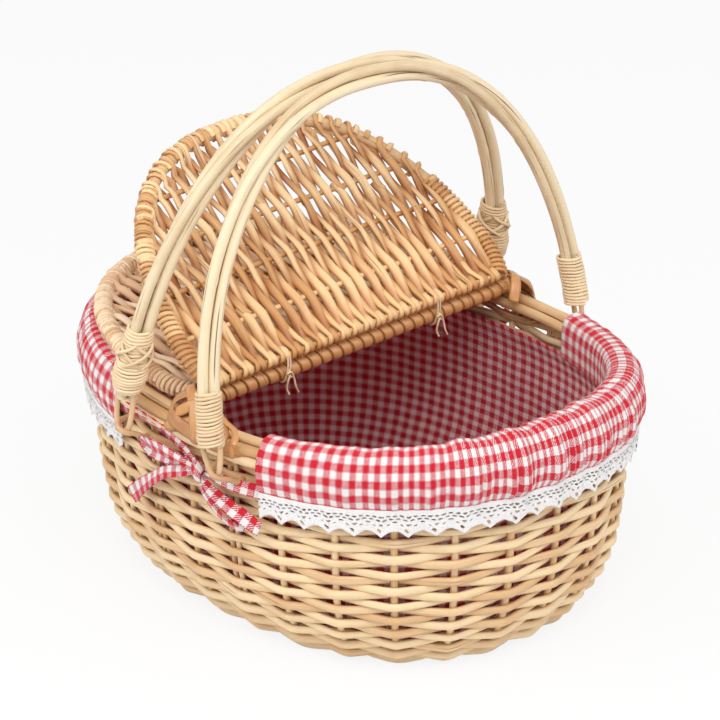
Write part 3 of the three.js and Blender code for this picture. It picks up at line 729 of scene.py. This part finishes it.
def makeLid(name, turned, opening, halfWidth, depth):
    lid["halfWidth"], lid["depth"] = halfWidth, depth
    short = lid["short"]
    place = lidFrame(turned, opening)
    ownWillow = lidWillow if turned else nearWillow

    def lidPiece(kind, paths, radius, sides, material, *replaced):
        piece = rods(f"{name}_{kind}", placed(paths, place), radius, sides=sides, twist="MINIMUM")
        finishPiece(piece, name, "lid_willow", material, *replaced)

    outline = [lidOutline(i / lid["steps"]) for i in range(lid["steps"] + 1)]
    bow = [(*p, 1 + 0.05 * noise.noise(p * 0.03)) for p in evenly(outline, 110)]
    lidPiece("bow_core", [bow], lid["bowRadius"], 12, rimWillow, name + "_bow")
    bar = [(0, side * (halfWidth - short["bar"]), 0) for side in (-1, 1)]
    lidPiece("bar_core", [bar], lid["barRadius"], 8, ownWillow, name + "_hinge_bar")
    # wraps from both corners, and each strand goes round five times before the next one starts
    around = lid["bowRadius"] + lid["wrapRadius"] * 0.85
    first, last = [int(lid["steps"] * share) for share in ((0.5, 0.5) if turned else lid["wrapShares"])]
    corners = outline[:first], outline[lid["steps"] - last:]
    wraps = [wound(line, around, lid["wrapPitch"]) for line in corners]
    whole = lid["wrapSteps"]
    strands = [wrap[i:i + whole + 1] for wrap in wraps for i in range(0, len(wrap) - 8, whole)]
    lidPiece("wraps", strands, lid["wrapRadius"], 6, ownWillow)
    ribs = []
    for i in range(1, lid["ribs"] + 1):
        at = depth * i / (lid["ribs"] + 1)
        across = (1 - (at / (depth - short["rib"])) ** lid["power"]) ** (1 / lid["power"])
        half = (halfWidth - short["rib"]) * across
        shares = [k / 12 - 1 for k in range(25)]
        ribs.append([(at + 1.2 * uneven(s * 3, i, turned), half * s, 0) for s in shares])
    nodes = [f"{name}_rib_{i + 1}" for i in range(lid["ribs"])]
    lidPiece("ribs", ribs, lid["ribRadius"], 8, ownWillow, *nodes)
    # the weavers are made flat, where their height gives how far they dip
    edge = halfWidth - short["weave"]
    count = round(2 * edge / lid["weaverPitch"])
    weavers = []
    for j in range(count + 1):
        weavers += spliced(lidWeaver(j, edge * (2 * j / count - 1), turned), j + turned)
    piece = rods(name + "_weavers", weavers, lid["weaverAcross"], lid["weaverUp"], twist="MINIMUM",
                 square=0.9)
    dip = piece.data.attributes.new("dip", "FLOAT", "POINT")
    dip.data.foreach_set("value", [max(0.0, 1 - abs(v.co.z) / mm / lid["dipDepth"])
                                     for v in piece.data.vertices])
    place.translation *= mm
    piece.data.transform(place)
    finishPiece(piece, name, "lid_willow", ownWillow, name + "_weave")


makeLid("near_lid", False, hinge["opening"], 140.5, 173)
makeLid("far_lid", True, 0, 142, 179)
print("lids done")


# Handles: bundles of three rods with a long twist, a whipping over each foot and an eye below it
handle = dict(height=225, halfSpan=171, power=2.2, footOffset=47, pivotUp=138, lean=9.828, rodRadius=3.65,
              spread=4.5, twist=0.8, straight=0.12, rodFoot=26, steps=120)
whipping = dict(strand=1.15, pitch=2.3, stepsPerTurn=14, pressed=1.3, crossingLift=0.6, crossingSteps=12)
eye = dict(rod=1.9, steps=60)
# the windings' places up the foot, each with how far it stands out beyond a close one there
feet = {
    "far_handle": dict(
        winding=[(31, 0.2), (35, 2.0), (43, 3.4), (50, 2.8), (56, 1.0), (64, 0.5), (70, 1.3), (77, 0.4)],
        crossing=(51, 69), loop=[(5.4, 46), (5.6, 34), (5.5, 20), (5.0, 8), (3.4, 1.5), (0, -1.4)]),
    "near_handle": dict(
        winding=[(20, 0.1), (26, 0.5), (34, 0.2), (44, 0.5), (56, 0.2)],
        crossing=None, loop=[(6.6, 34), (6.4, 22), (5.2, 11), (3.6, 3.5), (2.0, 0), (0, -1.2)]),
}


def handleFrame(side):
    place = Matrix.Translation((side * handle["footOffset"], 0, handle["pivotUp"]))
    return place @ Matrix.Rotation(radians(-side * handle["lean"]), 4, "Y")


def archPoint(share):
    foot = asin((handle["rodFoot"] / handle["height"]) ** (handle["power"] / 2))
    angle = foot + (pi - 2 * foot) * share
    return Vector((0, -handle["halfSpan"] * signedPower(cos(angle), 2 / handle["power"]),
                   handle["height"] * max(sin(angle), 0) ** (2 / handle["power"])))


def footPoint(around, angle, up, turn):
    y = -handle["halfSpan"] * (1 - (up / handle["height"]) ** handle["power"]) ** (1 / handle["power"])
    return (around * cos(angle), turn * (y + around * sin(angle)), up)


# Close turns of strand up a foot
def winding(knots, side, turn):
    steps = whipping["stepsPerTurn"]
    low, high = knots[0][0], knots[-1][0]
    count = int((high - low) / whipping["pitch"]) * steps
    close = handle["spread"] + handle["rodRadius"] + whipping["strand"] * 0.8 - whipping["pressed"]
    path = []
    for i in range(count + 1):
        up = low + (high - low) * i / count
        n = max(k for k in range(len(knots) - 1) if knots[k][0] <= up + 1e-6)
        (before, bulge), (after, nextBulge) = knots[n:n + 2]
        bulge += (nextBulge - bulge) * (up - before) / (after - before)
        angle = 2 * pi * i / steps
        loose = close + bulge + 0.35 * uneven(i / steps * 1.3, side, turn)
        slip = 0.7 * uneven(cos(angle), sin(angle), i / steps * 0.35)
        thick = 1 + 0.2 * uneven(i / steps * 2.1, 7, turn)
        path.append((*footPoint(loose, angle, up + slip, turn), thick))
    return path


# Strands that cross the foot on the slant between two windings
def crossings(low, high, turn):
    close = handle["spread"] + handle["rodRadius"] + whipping["strand"] * 1.6 + whipping["crossingLift"]
    paths = []
    for direction in (-1, 1):
        bulge = 1.3 * (0.6 + 0.4 * direction)
        for first in range(4):
            path = []
            for k in range(whipping["crossingSteps"] + 1):
                share = k / whipping["crossingSteps"]
                angle = first * pi / 2 + direction * share * pi * 0.75
                out = close + bulge * sin(pi * share) - 1.6 * (share * 2 - 1) ** 4
                path.append((*footPoint(out, angle, low + (high - low) * share, turn), 1.05))
            paths.append(path)
    return paths


def makeHandle(name, side):
    place = handleFrame(side)
    arch = evenly([archPoint(i / 300) for i in range(301)], handle["steps"])
    paths = []
    for rod in range(3):
        swellings = [random.randrange(8, 112) for _ in range(5)]
        path = []
        for i, middle in enumerate(arch):
            share = i / handle["steps"]
            ahead = heading(arch, i)
            twist = handle["twist"] * smoothStep(share, handle["straight"], 1 - handle["straight"])
            angle = 2 * pi * (rod / 3 + twist) + 0.35 * uneven(share * 4, rod * 5, side)
            spread = handle["spread"] * (1 + 0.14 * uneven(share * 6, rod, side))
            spread *= 0.9 + 0.1 * min(1, min(share, 1 - share) * 8)
            across = spread * cos(angle)
            point = middle + Vector((spread * sin(angle), -ahead.z * across, ahead.y * across))
            thick = 1 + 0.09 * uneven(share * 9, rod * 3, side * 5) + (0.1 if i in swellings else 0)
            path.append((*point, thick))
        paths.append(path)
    piece = rods(name + "_rods", placed(paths, place), handle["rodRadius"], sides=12, twist="MINIMUM")
    finishPiece(piece, name, "handle_willow", handleWillow, *[f"{name}_rod_{i}" for i in (1, 2, 3)])
    foot = feet[name]
    for end, turn in (("front", 1), ("back", -1)):
        strands = [winding(foot["winding"], side, turn)]
        if foot["crossing"]:
            strands += crossings(*foot["crossing"], turn)
        wrap = rods(f"{name}_wrap_{end}", placed(strands, place), whipping["strand"], sides=6,
                    twist="MINIMUM")
        finishPiece(wrap, name, "binding", skein, f"{name}_whipping_{end}")
        loop = [(-x, 0, z) for x, z in foot["loop"]] + [(x, 0, z) for x, z in reversed(foot["loop"][:-1])]
        path = [(p.x, turn * (-handle["halfSpan"] + 0.35 * p.x), p.z, 1 + 0.06 * noise.noise(p * 0.2))
                for p in evenly(smoothLine(loop, 8), eye["steps"])]
        ring = rods(f"{name}_loop_{end}", placed([path], place), eye["rod"], sides=10, twist="MINIMUM")
        finishPiece(ring, name, "binding", eyeWillow, f"{name}_eye_{end}")


makeHandle("far_handle", -1)
makeHandle("near_handle", 1)

# Rim eyes: thin rods that come out under the border and turn back through the handles' eyes
rimEye = dict(rod=1.85, inside=2.0, reach=28.5, rise=3.4, drop=8.0, splay=6.6)


def makeRimEyes():
    rise, drop, splay = rimEye["rise"], rimEye["drop"], rimEye["splay"]
    for name, side in (("far", -1), ("near", 1)):
        for end, front in (("front", 1), ("back", -1)):
            x = side * handle["footOffset"]
            wall = -onOval(turnAt(x), 0, 0).y
            inside, outside = wall + rimEye["inside"], wall + rimEye["reach"]
            points = [
                (inside, rise - 5, -splay * 0.7), (inside + 6, rise - 2, -splay * 0.95),
                (inside + 12, rise, -splay), (outside - 6, rise + 0.5, -splay * 0.8),
                (outside - 1, rise, -splay * 0.2), (outside, rise - 1.5, splay * 0.3),
                (outside - 3, rise - 4, splay * 0.8), (outside - 10, rise - 6.5, splay),
                (inside + 8, -drop, splay * 0.9), (inside, -drop, splay * 0.6)]
            points = [(x + across, -y * front, handle["pivotUp"] + up) for y, up, across in points]
            path = [(*p, 1 + 0.08 * noise.noise(p * 0.1))
                    for p in evenly(smoothLine(points, 8), eye["steps"])]
            piece = rods(f"rim_loop_{name}_{end}", [path], rimEye["rod"], sides=10, twist="MINIMUM")
            finishPiece(piece, "root", "handle_willow", eyeWillow, f"rim_eye_{name}_{end}")


makeRimEyes()
print("handles done")


# Cuffs: the liner turned over the rim, smooth along the sides and gathered round the ends
cuff = dict(start=68, fall=34, turnIn=28, tuck=9, puff=3.5, farPuff=9.5, folds=3.4, gather=1.25,
            fullness=1.4, thickness=1.0, steps=60, stepsAlong=460, stepsAcross=48)
cuffTurn = 1 - turnAt(cuff["start"])
cuffProfile = smoothLine([
    (-10.6, rim["top"] - cuff["turnIn"]),
    (-10.7, rim["shoulderUp"] - 2),
    (-8.7, rim["top"] - 0.8),
    (-4.5, rim["top"] + 2.2),
    (0.0, rim["top"] + 2.8),
    (5.5, rim["top"] + 2.0),
    (10.5, rim["shoulderUp"] + 3.5),
    (13.2, rim["borderUp"] + 1),
    (12.4, rim["borderUp"] - 9),
    (9.9, rim["top"] - cuff["fall"]),
    (8.4, rim["top"] - cuff["fall"] - cuff["tuck"]),
], 10)
profileLength = pathLength(cuffProfile)
cuffRun = rimLength * 2 * cuffTurn
cuffEven = evenly(cuffProfile, cuff["steps"])
cuffHeadings = [heading(cuffEven, i) for i in range(len(cuffEven))]
cuffNormals = [Vector((-ahead.y, ahead.x)) for ahead in cuffHeadings]
seamShare = 1 - cuff["tuck"] / profileLength


# How much cloth lies along the cuff up to a place: more round the end, where it is gathered
def flatShare(along):
    gathered = along / 2 - sin(2 * pi * along) / (4 * pi)
    return (along + cuff["gather"] * gathered) / (1 + cuff["gather"] / 2)


def cuffPoint(share, across, far):
    place = placeAt(cuffEven, across)
    normal = cuffNormals[int(across * cuff["steps"] + 0.5)]
    middle = sin(pi * share)
    # rounded folds with sharp valleys, deeper towards the basket's end and the seam
    seed = 31.0 if far else 11.0
    along = share * cuffRun
    drift = across * 0.5 + 0.25 * uneven(along * 0.02, across * 3, seed + 3)
    first = abs(uneven(along * 0.042, drift, seed))
    second = abs(uneven(along * 0.14, drift * 1.6, seed + 5))
    third = abs(uneven(along * 0.32, across * 1.8, seed + 9))
    depth = (0.3 + middle ** 2) * (0.5 + 0.9 * max(0, across - 0.35))
    depth *= 0.25 + 0.75 * smoothStep(across, 0.1, 0.4)
    fold = cuff["folds"] * depth * (1.9 * first + 1.6 * second + 0.7 * third * middle) - 0.4
    fold *= 1 - 0.72 * smoothStep(across, seamShare - 0.12, seamShare)
    puff = (cuff["farPuff"] if far else cuff["puff"]) * middle ** 2 * max(0, across - 0.3) * 1.2
    puff *= 1 - 0.5 * smoothStep(across, seamShare - 0.1, 1)
    up = place.y + normal.y * fold + 1.4 * uneven(along * 0.02, 0, seed + 20)
    return onOval(cuffTurn * (2 * share - 1), place.x + normal.x * fold + puff, up)


def makeCuff(name, angle):
    far = name == "far"
    turned = Matrix.Rotation(angle, 3, "Z")
    clothRun = cuffRun * (1 + cuff["gather"] / 2)

    def clothPoint(along, across):
        return turned @ cuffPoint(along, across, far)

    piece = clothSheet(f"cuff_{name}_cloth", cuff["stepsAlong"], cuff["stepsAcross"], clothRun,
                       profileLength, clothPoint, cuff["thickness"], flatShare)
    finishPiece(piece, "root", "gingham", ginghamCloth, f"cuff_{name}")
    laceRun = cuffRun * lace["fullness"]

    # the lace is sewn along the seam, and its lower edge runs in arches between points
    def lacePoint(along, across):
        turn = cuffTurn * (2 * along - 1)
        arch = lace["arch"] * abs(sin(pi * along * laceRun / lace["pitch"]))
        drop = (lace["width"] - arch) * (1 - across)
        ripple = 0.8 * uneven(along * cuffRun * 0.06, across, 40)
        outward = (onOval(turn, 1, 0) - onOval(turn, 0, 0)).normalized()
        lean = 0.05 + 1.1 * across + ripple * (1.1 - across)
        return turned @ (cuffPoint(along, seamShare, far) + outward * lean + Vector((0, 0, 1.5 - drop)))

    edge = clothSheet(f"lace_{name}_edge", lace["stepsAlong"], lace["stepsAcross"], laceRun, lace["width"],
                      lacePoint, lace["thickness"])
    finishPiece(edge, "root", "lace", cottonLace, f"lace_{name}")


makeCuff("near", 0)
makeCuff("far", pi)
print("cuffs and lace done")


# Liner: the bag of the same cloth inside the weave. The share of the cloth up to floorFrom is its wall.
liner = dict(gap=7.4, floorUp=11.5, thickness=1.0, floorFrom=0.82, wallSteps=40, cut=(0.56, 0.48), area=0.21)


def makeLiner():
    floorUp, floorFrom = liner["floorUp"], liner["floorFrom"]
    profile = [Vector((wallInset(up) - liner["gap"] + weave["middle"] - (3.5 if up > 125 else 0), up))
               for up in [rim["top"] - cuff["turnIn"] + 4, 120, 100, 70, 45, 28, 18, floorUp]]
    profile.append(Vector((profile[-1].x - 4, floorUp - 1)))
    wall = evenly(smoothLine(profile, 8), liner["wallSteps"])
    shape, flat = shareGrid(224, 46)
    for v in shape.verts:
        turn, across = flat[v.index]
        place = placeAt(wall, min(1, across / floorFrom))
        angle = 2 * pi * turn
        crumple = 2.2 * uneven(cos(angle) * 6, sin(angle) * 6, across * 3)
        point = onOval(turn, place.x - abs(crumple), place.y)
        if across > floorFrom:
            inward = 0.999 * (across - floorFrom) / (1 - floorFrom)
            point.xy *= 1 - inward
            point.z = floorUp - 1 + 0.8 * noise.noise(point * 0.03)
        v.co = point * mm
    # the checks run straight over the floor, and round the wall
    uvLayer = shape.loops.layers.uv.new("cloth")
    for face in shape.faces:
        onFloor = all(flat[v.index][1] > 0.8 for v in face.verts)
        for corner in face.loops:
            along, across = flat[corner.vert.index]
            roundWall = (along * rimLength * 1.02, across * 220)
            corner[uvLayer].uv = corner.vert.co.xy / mm if onFloor else roundWall
    bmesh.ops.remove_doubles(shape, verts=shape.verts, dist=1e-5)
    bmesh.ops.recalc_face_normals(shape, faces=shape.faces)
    piece = thickened(meshOf("liner_bag", shape), liner["thickness"])
    # the liner gets the darker gingham, as painted shade
    finishPiece(piece, "root", "liner_cloth", shadedGingham, "liner")


makeLiner()
print("liner done")

# Lashings: flat split cane, fanned over the rim on both sides of the crossbar's end
lashing = dict(halfAcross=3.6, thickness=0.8, spreadStep=6.8, fanned=4, steps=44, rodsAt=(0.9, -149, 150),
               barAt=(0.3, -144, 163), barFrom=156, barFully=163,
               widths=[0.68, 0.68, 0.68, 0.68, 1, 1, 1.3, 1],
               tones=[0.3, -0.4, 0.35, -0.1, -0.8, -0.5, 0.5, 0.15])


# Each strip's way, as places along the rim, inwards from it and up
def lashingRoutes():
    routes = []
    for k in range(lashing["fanned"]):
        s = lashing["spreadStep"] * k
        below = [(19, -4.8, 158), (21, -8.6, 155.4), (22, -10.6, 151), (22, -10.2, 146.6), (21, -5, 141)]
        routes.append([(-6, 8, 162), (-1, 5.6 + 0.5 * k, 171.3), (6 + 0.4 * s, 4.4 + 0.3 * k, 168),
                       (12 + 0.8 * s, 2.2, 162.2), (16 + 1.2 * s, -0.8, 160.2)]
                      + [(x + 1.3 * s, y, z) for x, y, z in below])
    return routes + [
        # two that cross below the crossbar's end
        [(14, 4, 160), (9, -1.8, 160.2), (2, -8.4, 156.2), (-7, -10.4, 151.5), (-14, -10.8, 147),
         (-18, -6, 141)],
        [(-27, 3, 145), (-22, -4, 149.5), (-15, -8.4, 154.4), (-8, -9.4, 159.2), (-1, -8.2, 163.6),
         (5, -6, 168), (9, -1, 169.4), (12, 4, 162)],
        # one round the crossbar's end and back along the rim's shoulder
        [(8, 6, 163), (4.4, 4.8, 170.4), (-2, 1.8, 172.4), (-8.4, -2.6, 169.8), (-11.4, -7, 165.2),
         (-10.4, -9.8, 160.4), (-5, -11.4, 155.6), (9, -11.8, 152.8), (28, -11.7, 151.2), (46, -10.8, 150.6),
         (58, -7, 149.6), (64, -2, 148)],
        # and a strap down over its end
        [(-16, 14, 160), (-14, 10, 168.5), (-9.6, 6, 173.4), (-3.4, 1.4, 173.6), (3.6, -3, 171.4),
         (9.8, -7.2, 165.6), (13, -10, 159.4), (14.6, -11.8, 153), (14, -11.6, 147), (11, -6, 141)],
    ]


def lashingStrip(name, number, route, front):
    steps = lashing["steps"]
    line = []
    for p in evenly(smoothLine(route, 8), steps):
        rimAt = onOval(turnAt(p.x), 0, 0)
        line.append(swung(Vector((p.x, rimAt.y + p.y, p.z)), front))

    def stripPoint(along, across):
        place = placeAt(line, along)
        ahead = heading(line, min(int(along * steps), steps - 1), 2)
        # away from the rods low down, and away from the crossbar's end above them
        byBar = number >= lashing["fanned"]
        raised = smoothStep(place.z, lashing["barFrom"], lashing["barFully"]) if byBar else 0
        overRods, overBar = [Vector((place.x * share, y * front, up))
                             for share, y, up in (lashing["rodsAt"], lashing["barAt"])]
        outward = (place - overRods.lerp(overBar, raised)).normalized()
        half = lashing["halfAcross"] * lashing["widths"][number] * (1 + 0.12 * uneven(along * 5, number, 1))
        side = ahead.cross(outward).normalized() * half * 2
        return place + side * (across - 0.5) + outward * (0.8 - 3.2 * (across - 0.5) ** 2)

    strip = clothSheet(name, steps, 5, 74 + 9 * number, 8, stripPoint, lashing["thickness"])
    tone = strip.data.attributes.new("tone", "FLOAT", "FACE")
    tone.data.foreach_set("value", [lashing["tones"][number]] * len(strip.data.polygons))
    return strip


def joinPieces(name, pieces):
    bpy.ops.object.select_all(action="DESELECT")
    for piece in pieces:
        bpy.context.view_layer.objects.active = piece
        piece.select_set(True)
        for modifier in list(piece.modifiers):
            bpy.ops.object.modifier_apply(modifier=modifier.name)
    bpy.ops.object.join()
    whole = bpy.context.view_layer.objects.active
    whole.name = name
    whole.data.name = name
    return whole


def makeLashing(end, front):
    strips = [lashingStrip(f"lashing_{end}_{number}", number, route, front)
              for number, route in enumerate(lashingRoutes())]
    piece = joinPieces(f"lashing_{end}_cane", strips)
    piece.data.uv_layers[0].name = "UVMap"
    finishPiece(piece, "root", "cane", cane, f"lashing_{end}")


makeLashing("front", 1)
makeLashing("back", -1)

# Lid ties: two turns of thin strand round the near lid's bar and the crossbar, a knot and loose ends
tie = dict(offset=70, strand=0.7)


def makeTies():
    up = hinge["crossbarUp"]
    ends = [(50, [(7.2, -1, 3), (9, 1, 1), (8.6, 2, -2), (7.6, -1, -1), (8.8, -3, 1.5), (9.4, 0, 2),
                  (8.8, 3, -4), (9.4, 4, -10), (8.6, 7, -15)]),
            (20, [(8.6, 0, 0), (9.6, -3, -3), (9.2, -4, -9), (10.4, -3, -13)])]
    for end, side in (("front", -1), ("back", 1)):
        y = side * tie["offset"]
        paths = []
        for shift in (-1.6, 0.6):
            ring = []
            for i in range(33):
                angle = 2 * pi * i / 32
                ring.append((0.8 + 6.9 * sin(angle), y + shift + 0.9 * sin(angle * 2),
                             up + 5 + 12.4 * cos(angle)))
            paths.append(ring)
        # the knot with one end, and the other end
        paths += [evenly(smoothLine([(x, y + along, up + rise) for x, along, rise in points], 8), steps)
                  for steps, points in ends]
        piece = rods(f"lid_tie_{end}_strand", paths, tie["strand"], sides=6, twist="MINIMUM")
        finishPiece(piece, "root", "binding", skein, f"lid_tie_{end}")


makeTies()
print("lashings and ties done")

# Bows: gingham ribbon tied between the cuffs. Each strip has its way from the knot, as places along the
# rim, outwards and up, then its relative widths and how far it rolls.
ribbon = dict(width=10.2, thickness=0.8, knotAt=20, knotUp=128.4, knotRun=38, out=9.5, steps=60)
ribbonStrips = {
    "loop_out": ([(0, 4, 0), (-14, 9, 5), (-32, 10, 7), (-48, 7, 4), (-56, 3, 1), (-50, 1, -4), (-32, 2, -2),
                  (-14, 3, 1), (0, 3, -1)], [0.4, 0.7, 1.0, 1.1, 0.9, 1.1, 1.0, 0.7, 0.4], 0.5),
    "tail_far": ([(0, 4, 0), (-14, 7, -4), (-32, 7, -12), (-54, 4, -29), (-75, 2, -48)],
                 [0.4, 0.8, 0.9, 1.0, 1.15, 1.2], -0.5),
    "tail_near": ([(0, 4, 0), (10, 7, -7), (24, 6, -15), (38, 4, -22), (50, 4, -27)],
                  [0.4, 0.7, 0.9, 1.0, 1.0], 0.6),
    "loop_near": ([(0, 3, -1), (6, 6, -12), (16, 6, -22), (27, 5, -29), (34, 3, -30), (28, 2, -22),
                   (14, 3, -10)], [0.4, 0.8, 0.95, 0.95, 0.8, 0.8, 0.5], -0.6),
    "strand": ([(0, 3, 0), (16, 3, -1), (34, 1.5, -2), (50, -2, -3), (62, -4, -3)],
               [0.4, 0.8, 0.9, 1.0], 0.3),
    "strand_far": ([(0, 3, 0), (-18, 1, 9), (-40, 0.5, 15), (-66, 0.5, 16), (-88, -1, 12), (-100, -4, 8)],
                   [0.4, 0.7, 0.7, 0.8, 0.9], 0.3),
}


def ribbonStrip(name, points, front, widths, roll):
    points = [(ribbon["knotAt"] + along, out, ribbon["knotUp"] + up) for along, out, up in points]
    line = evenly(smoothLine(points, 10), ribbon["steps"])
    length = pathLength(line)
    world = [swung(onOval(turnAt(p.x), ribbon["out"] + p.y, p.z), front) for p in line]

    def place(along, across):
        ahead = heading(world, min(int(along * ribbon["steps"]), ribbon["steps"] - 1))
        outward = Vector((0.15 * front, -front, 0.1)).normalized()
        k = along * (len(widths) - 1)
        n = min(int(k), len(widths) - 2)
        width = ribbon["width"] * (widths[n] + (widths[n + 1] - widths[n]) * (k - n))
        side = ahead.cross(outward).normalized()
        turned = roll * sin(pi * along)
        side = (side * cos(turned) + outward * sin(turned)).normalized()
        crease = outward * 1.1 * cos(across * pi * 3 + along * 4) * (1.1 - widths[n])
        return placeAt(world, along) + side * (across - 0.5) * width + crease

    return clothSheet(name, ribbon["steps"], 8, length, ribbon["width"], place, ribbon["thickness"]), length


def makeBow(end, front):
    pieces, total = [], ribbon["knotRun"]
    for name, (points, widths, roll) in ribbonStrips.items():
        piece, length = ribbonStrip(f"bow_{end}_{name}", points, front, widths, roll)
        pieces.append(piece)
        total += length

    # the knot: a short length wound over the middle
    def knotPoint(along, across):
        angle = 2 * pi * along
        middle = onOval(turnAt(ribbon["knotAt"]), ribbon["out"] + 4.2, ribbon["knotUp"] - 0.5)
        bulge = 1 - 0.35 * (2 * across - 1) ** 2
        lean = (across - 0.5) * 10
        point = middle + Vector((lean * 0.9 + 1.2 * cos(angle), -5.2 * bulge * cos(angle),
                                 6.4 * bulge * sin(angle) - lean * 0.45))
        return swung(point, front)

    knot = clothSheet(f"bow_{end}_knot", 32, 8, ribbon["knotRun"], 10, knotPoint, ribbon["thickness"])
    pieces.append(knot)
    whole = joinPieces(f"bow_{end}_ribbon", pieces)
    finishPiece(whole, "root", "gingham", ginghamCloth, f"bow_{end}")


makeBow("front", 1)
makeBow("back", -1)
print("bows done")

# Floor, lights and camera. The lamps are azimuth, elevation, distance and size, then energy.
studio = dict(floorHalf=8.0, floorTone=0.86, world=0.54, backdrop=0.95, glow=0.86, aimUp=0.15)
lamps = {"keyLight": (48, 52, 1.6, 1.0, 13.6), "leftLight": (-25, 34, 1.8, 1.2, 9.6),
         "rightLight": (118, 32, 1.8, 1.2, 6.8)}
view = dict(azimuth=46.94, elevation=24.44, distance=2440, focal=3562, target=(3.12, -1.27, 152.55),
            pixels=720)


# 1 for the rays that see the white surroundings: straight, in a shine, or through something clear
def seesWhite(tree):
    rays = addNode(tree, "LightPath", {}).outputs
    found = calculated(tree, "MAXIMUM", rays["Is Camera Ray"], rays["Is Glossy Ray"])
    return calculated(tree, "MAXIMUM", found, rays["Is Transmission Ray"])


def makeFloor():
    shape = bmesh.new()
    bmesh.ops.create_grid(shape, x_segments=1, y_segments=1, size=studio["floorHalf"])
    floor = meshOf("floor", shape)
    material, tree, shader = newMaterial("paleFloor")
    fill(tree, shader, {"Base Color": (*[studio["floorTone"]] * 3, 1), "Roughness": 0.9})
    glow = addNode(tree, "Emission", {"Color": (1, 1, 1, 1), "Strength": 1.0}).outputs[0]
    share = calculated(tree, "MULTIPLY", seesWhite(tree), studio["glow"])
    mix = addNode(tree, "MixShader", {0: share, 1: shader.outputs[0], 2: glow})
    tree.links.new(mix.outputs[0], tree.nodes["Material Output"].inputs["Surface"])
    floor.data.materials.append(material)


# Something placed at a distance from a target and turned to face it
def aimed(name, data, target, azimuth, elevation, distance):
    a, e = radians(azimuth), radians(elevation)
    back = Vector((sin(a) * cos(e), -cos(a) * cos(e), sin(e)))
    holder = bpy.data.objects.new(name, data)
    holder.location = Vector(target) + back * distance
    holder.rotation_euler = back.to_track_quat("Z", "Y").to_euler()
    bpy.context.collection.objects.link(holder)
    return holder


def makeLights():
    world = bpy.data.worlds.new("studioWorld")
    world.use_nodes = True
    tree = world.node_tree
    light = fill(tree, tree.nodes["Background"], {"Color": (1, 1, 1, 1), "Strength": studio["world"]})
    # white is seen beyond the floor
    seen = addNode(tree, "Background", {"Color": (1, 1, 1, 1), "Strength": studio["backdrop"]})
    either = addNode(tree, "MixShader", {0: seesWhite(tree), 1: light.outputs[0], 2: seen.outputs[0]})
    tree.links.new(either.outputs[0], tree.nodes["World Output"].inputs["Surface"])
    bpy.context.scene.world = world
    for name, (azimuth, elevation, distance, size, energy) in lamps.items():
        lamp = bpy.data.lights.new(name, "AREA")
        lamp.size = size
        lamp.energy = energy
        aimed(name, lamp, (0, 0, studio["aimUp"]), azimuth, elevation, distance)


def makeCamera():
    lens = bpy.data.cameras.new("camera")
    lens.sensor_width = 36
    lens.lens = view["focal"] / view["pixels"] * lens.sensor_width
    lens.clip_end = 30
    bpy.context.scene.camera = aimed("camera", lens, Vector(view["target"]) * mm, view["azimuth"],
                                     view["elevation"], view["distance"] * mm)


makeFloor()
makeLights()
makeCamera()
bpy.context.scene.view_settings.view_transform = "Standard"

print("scene done")
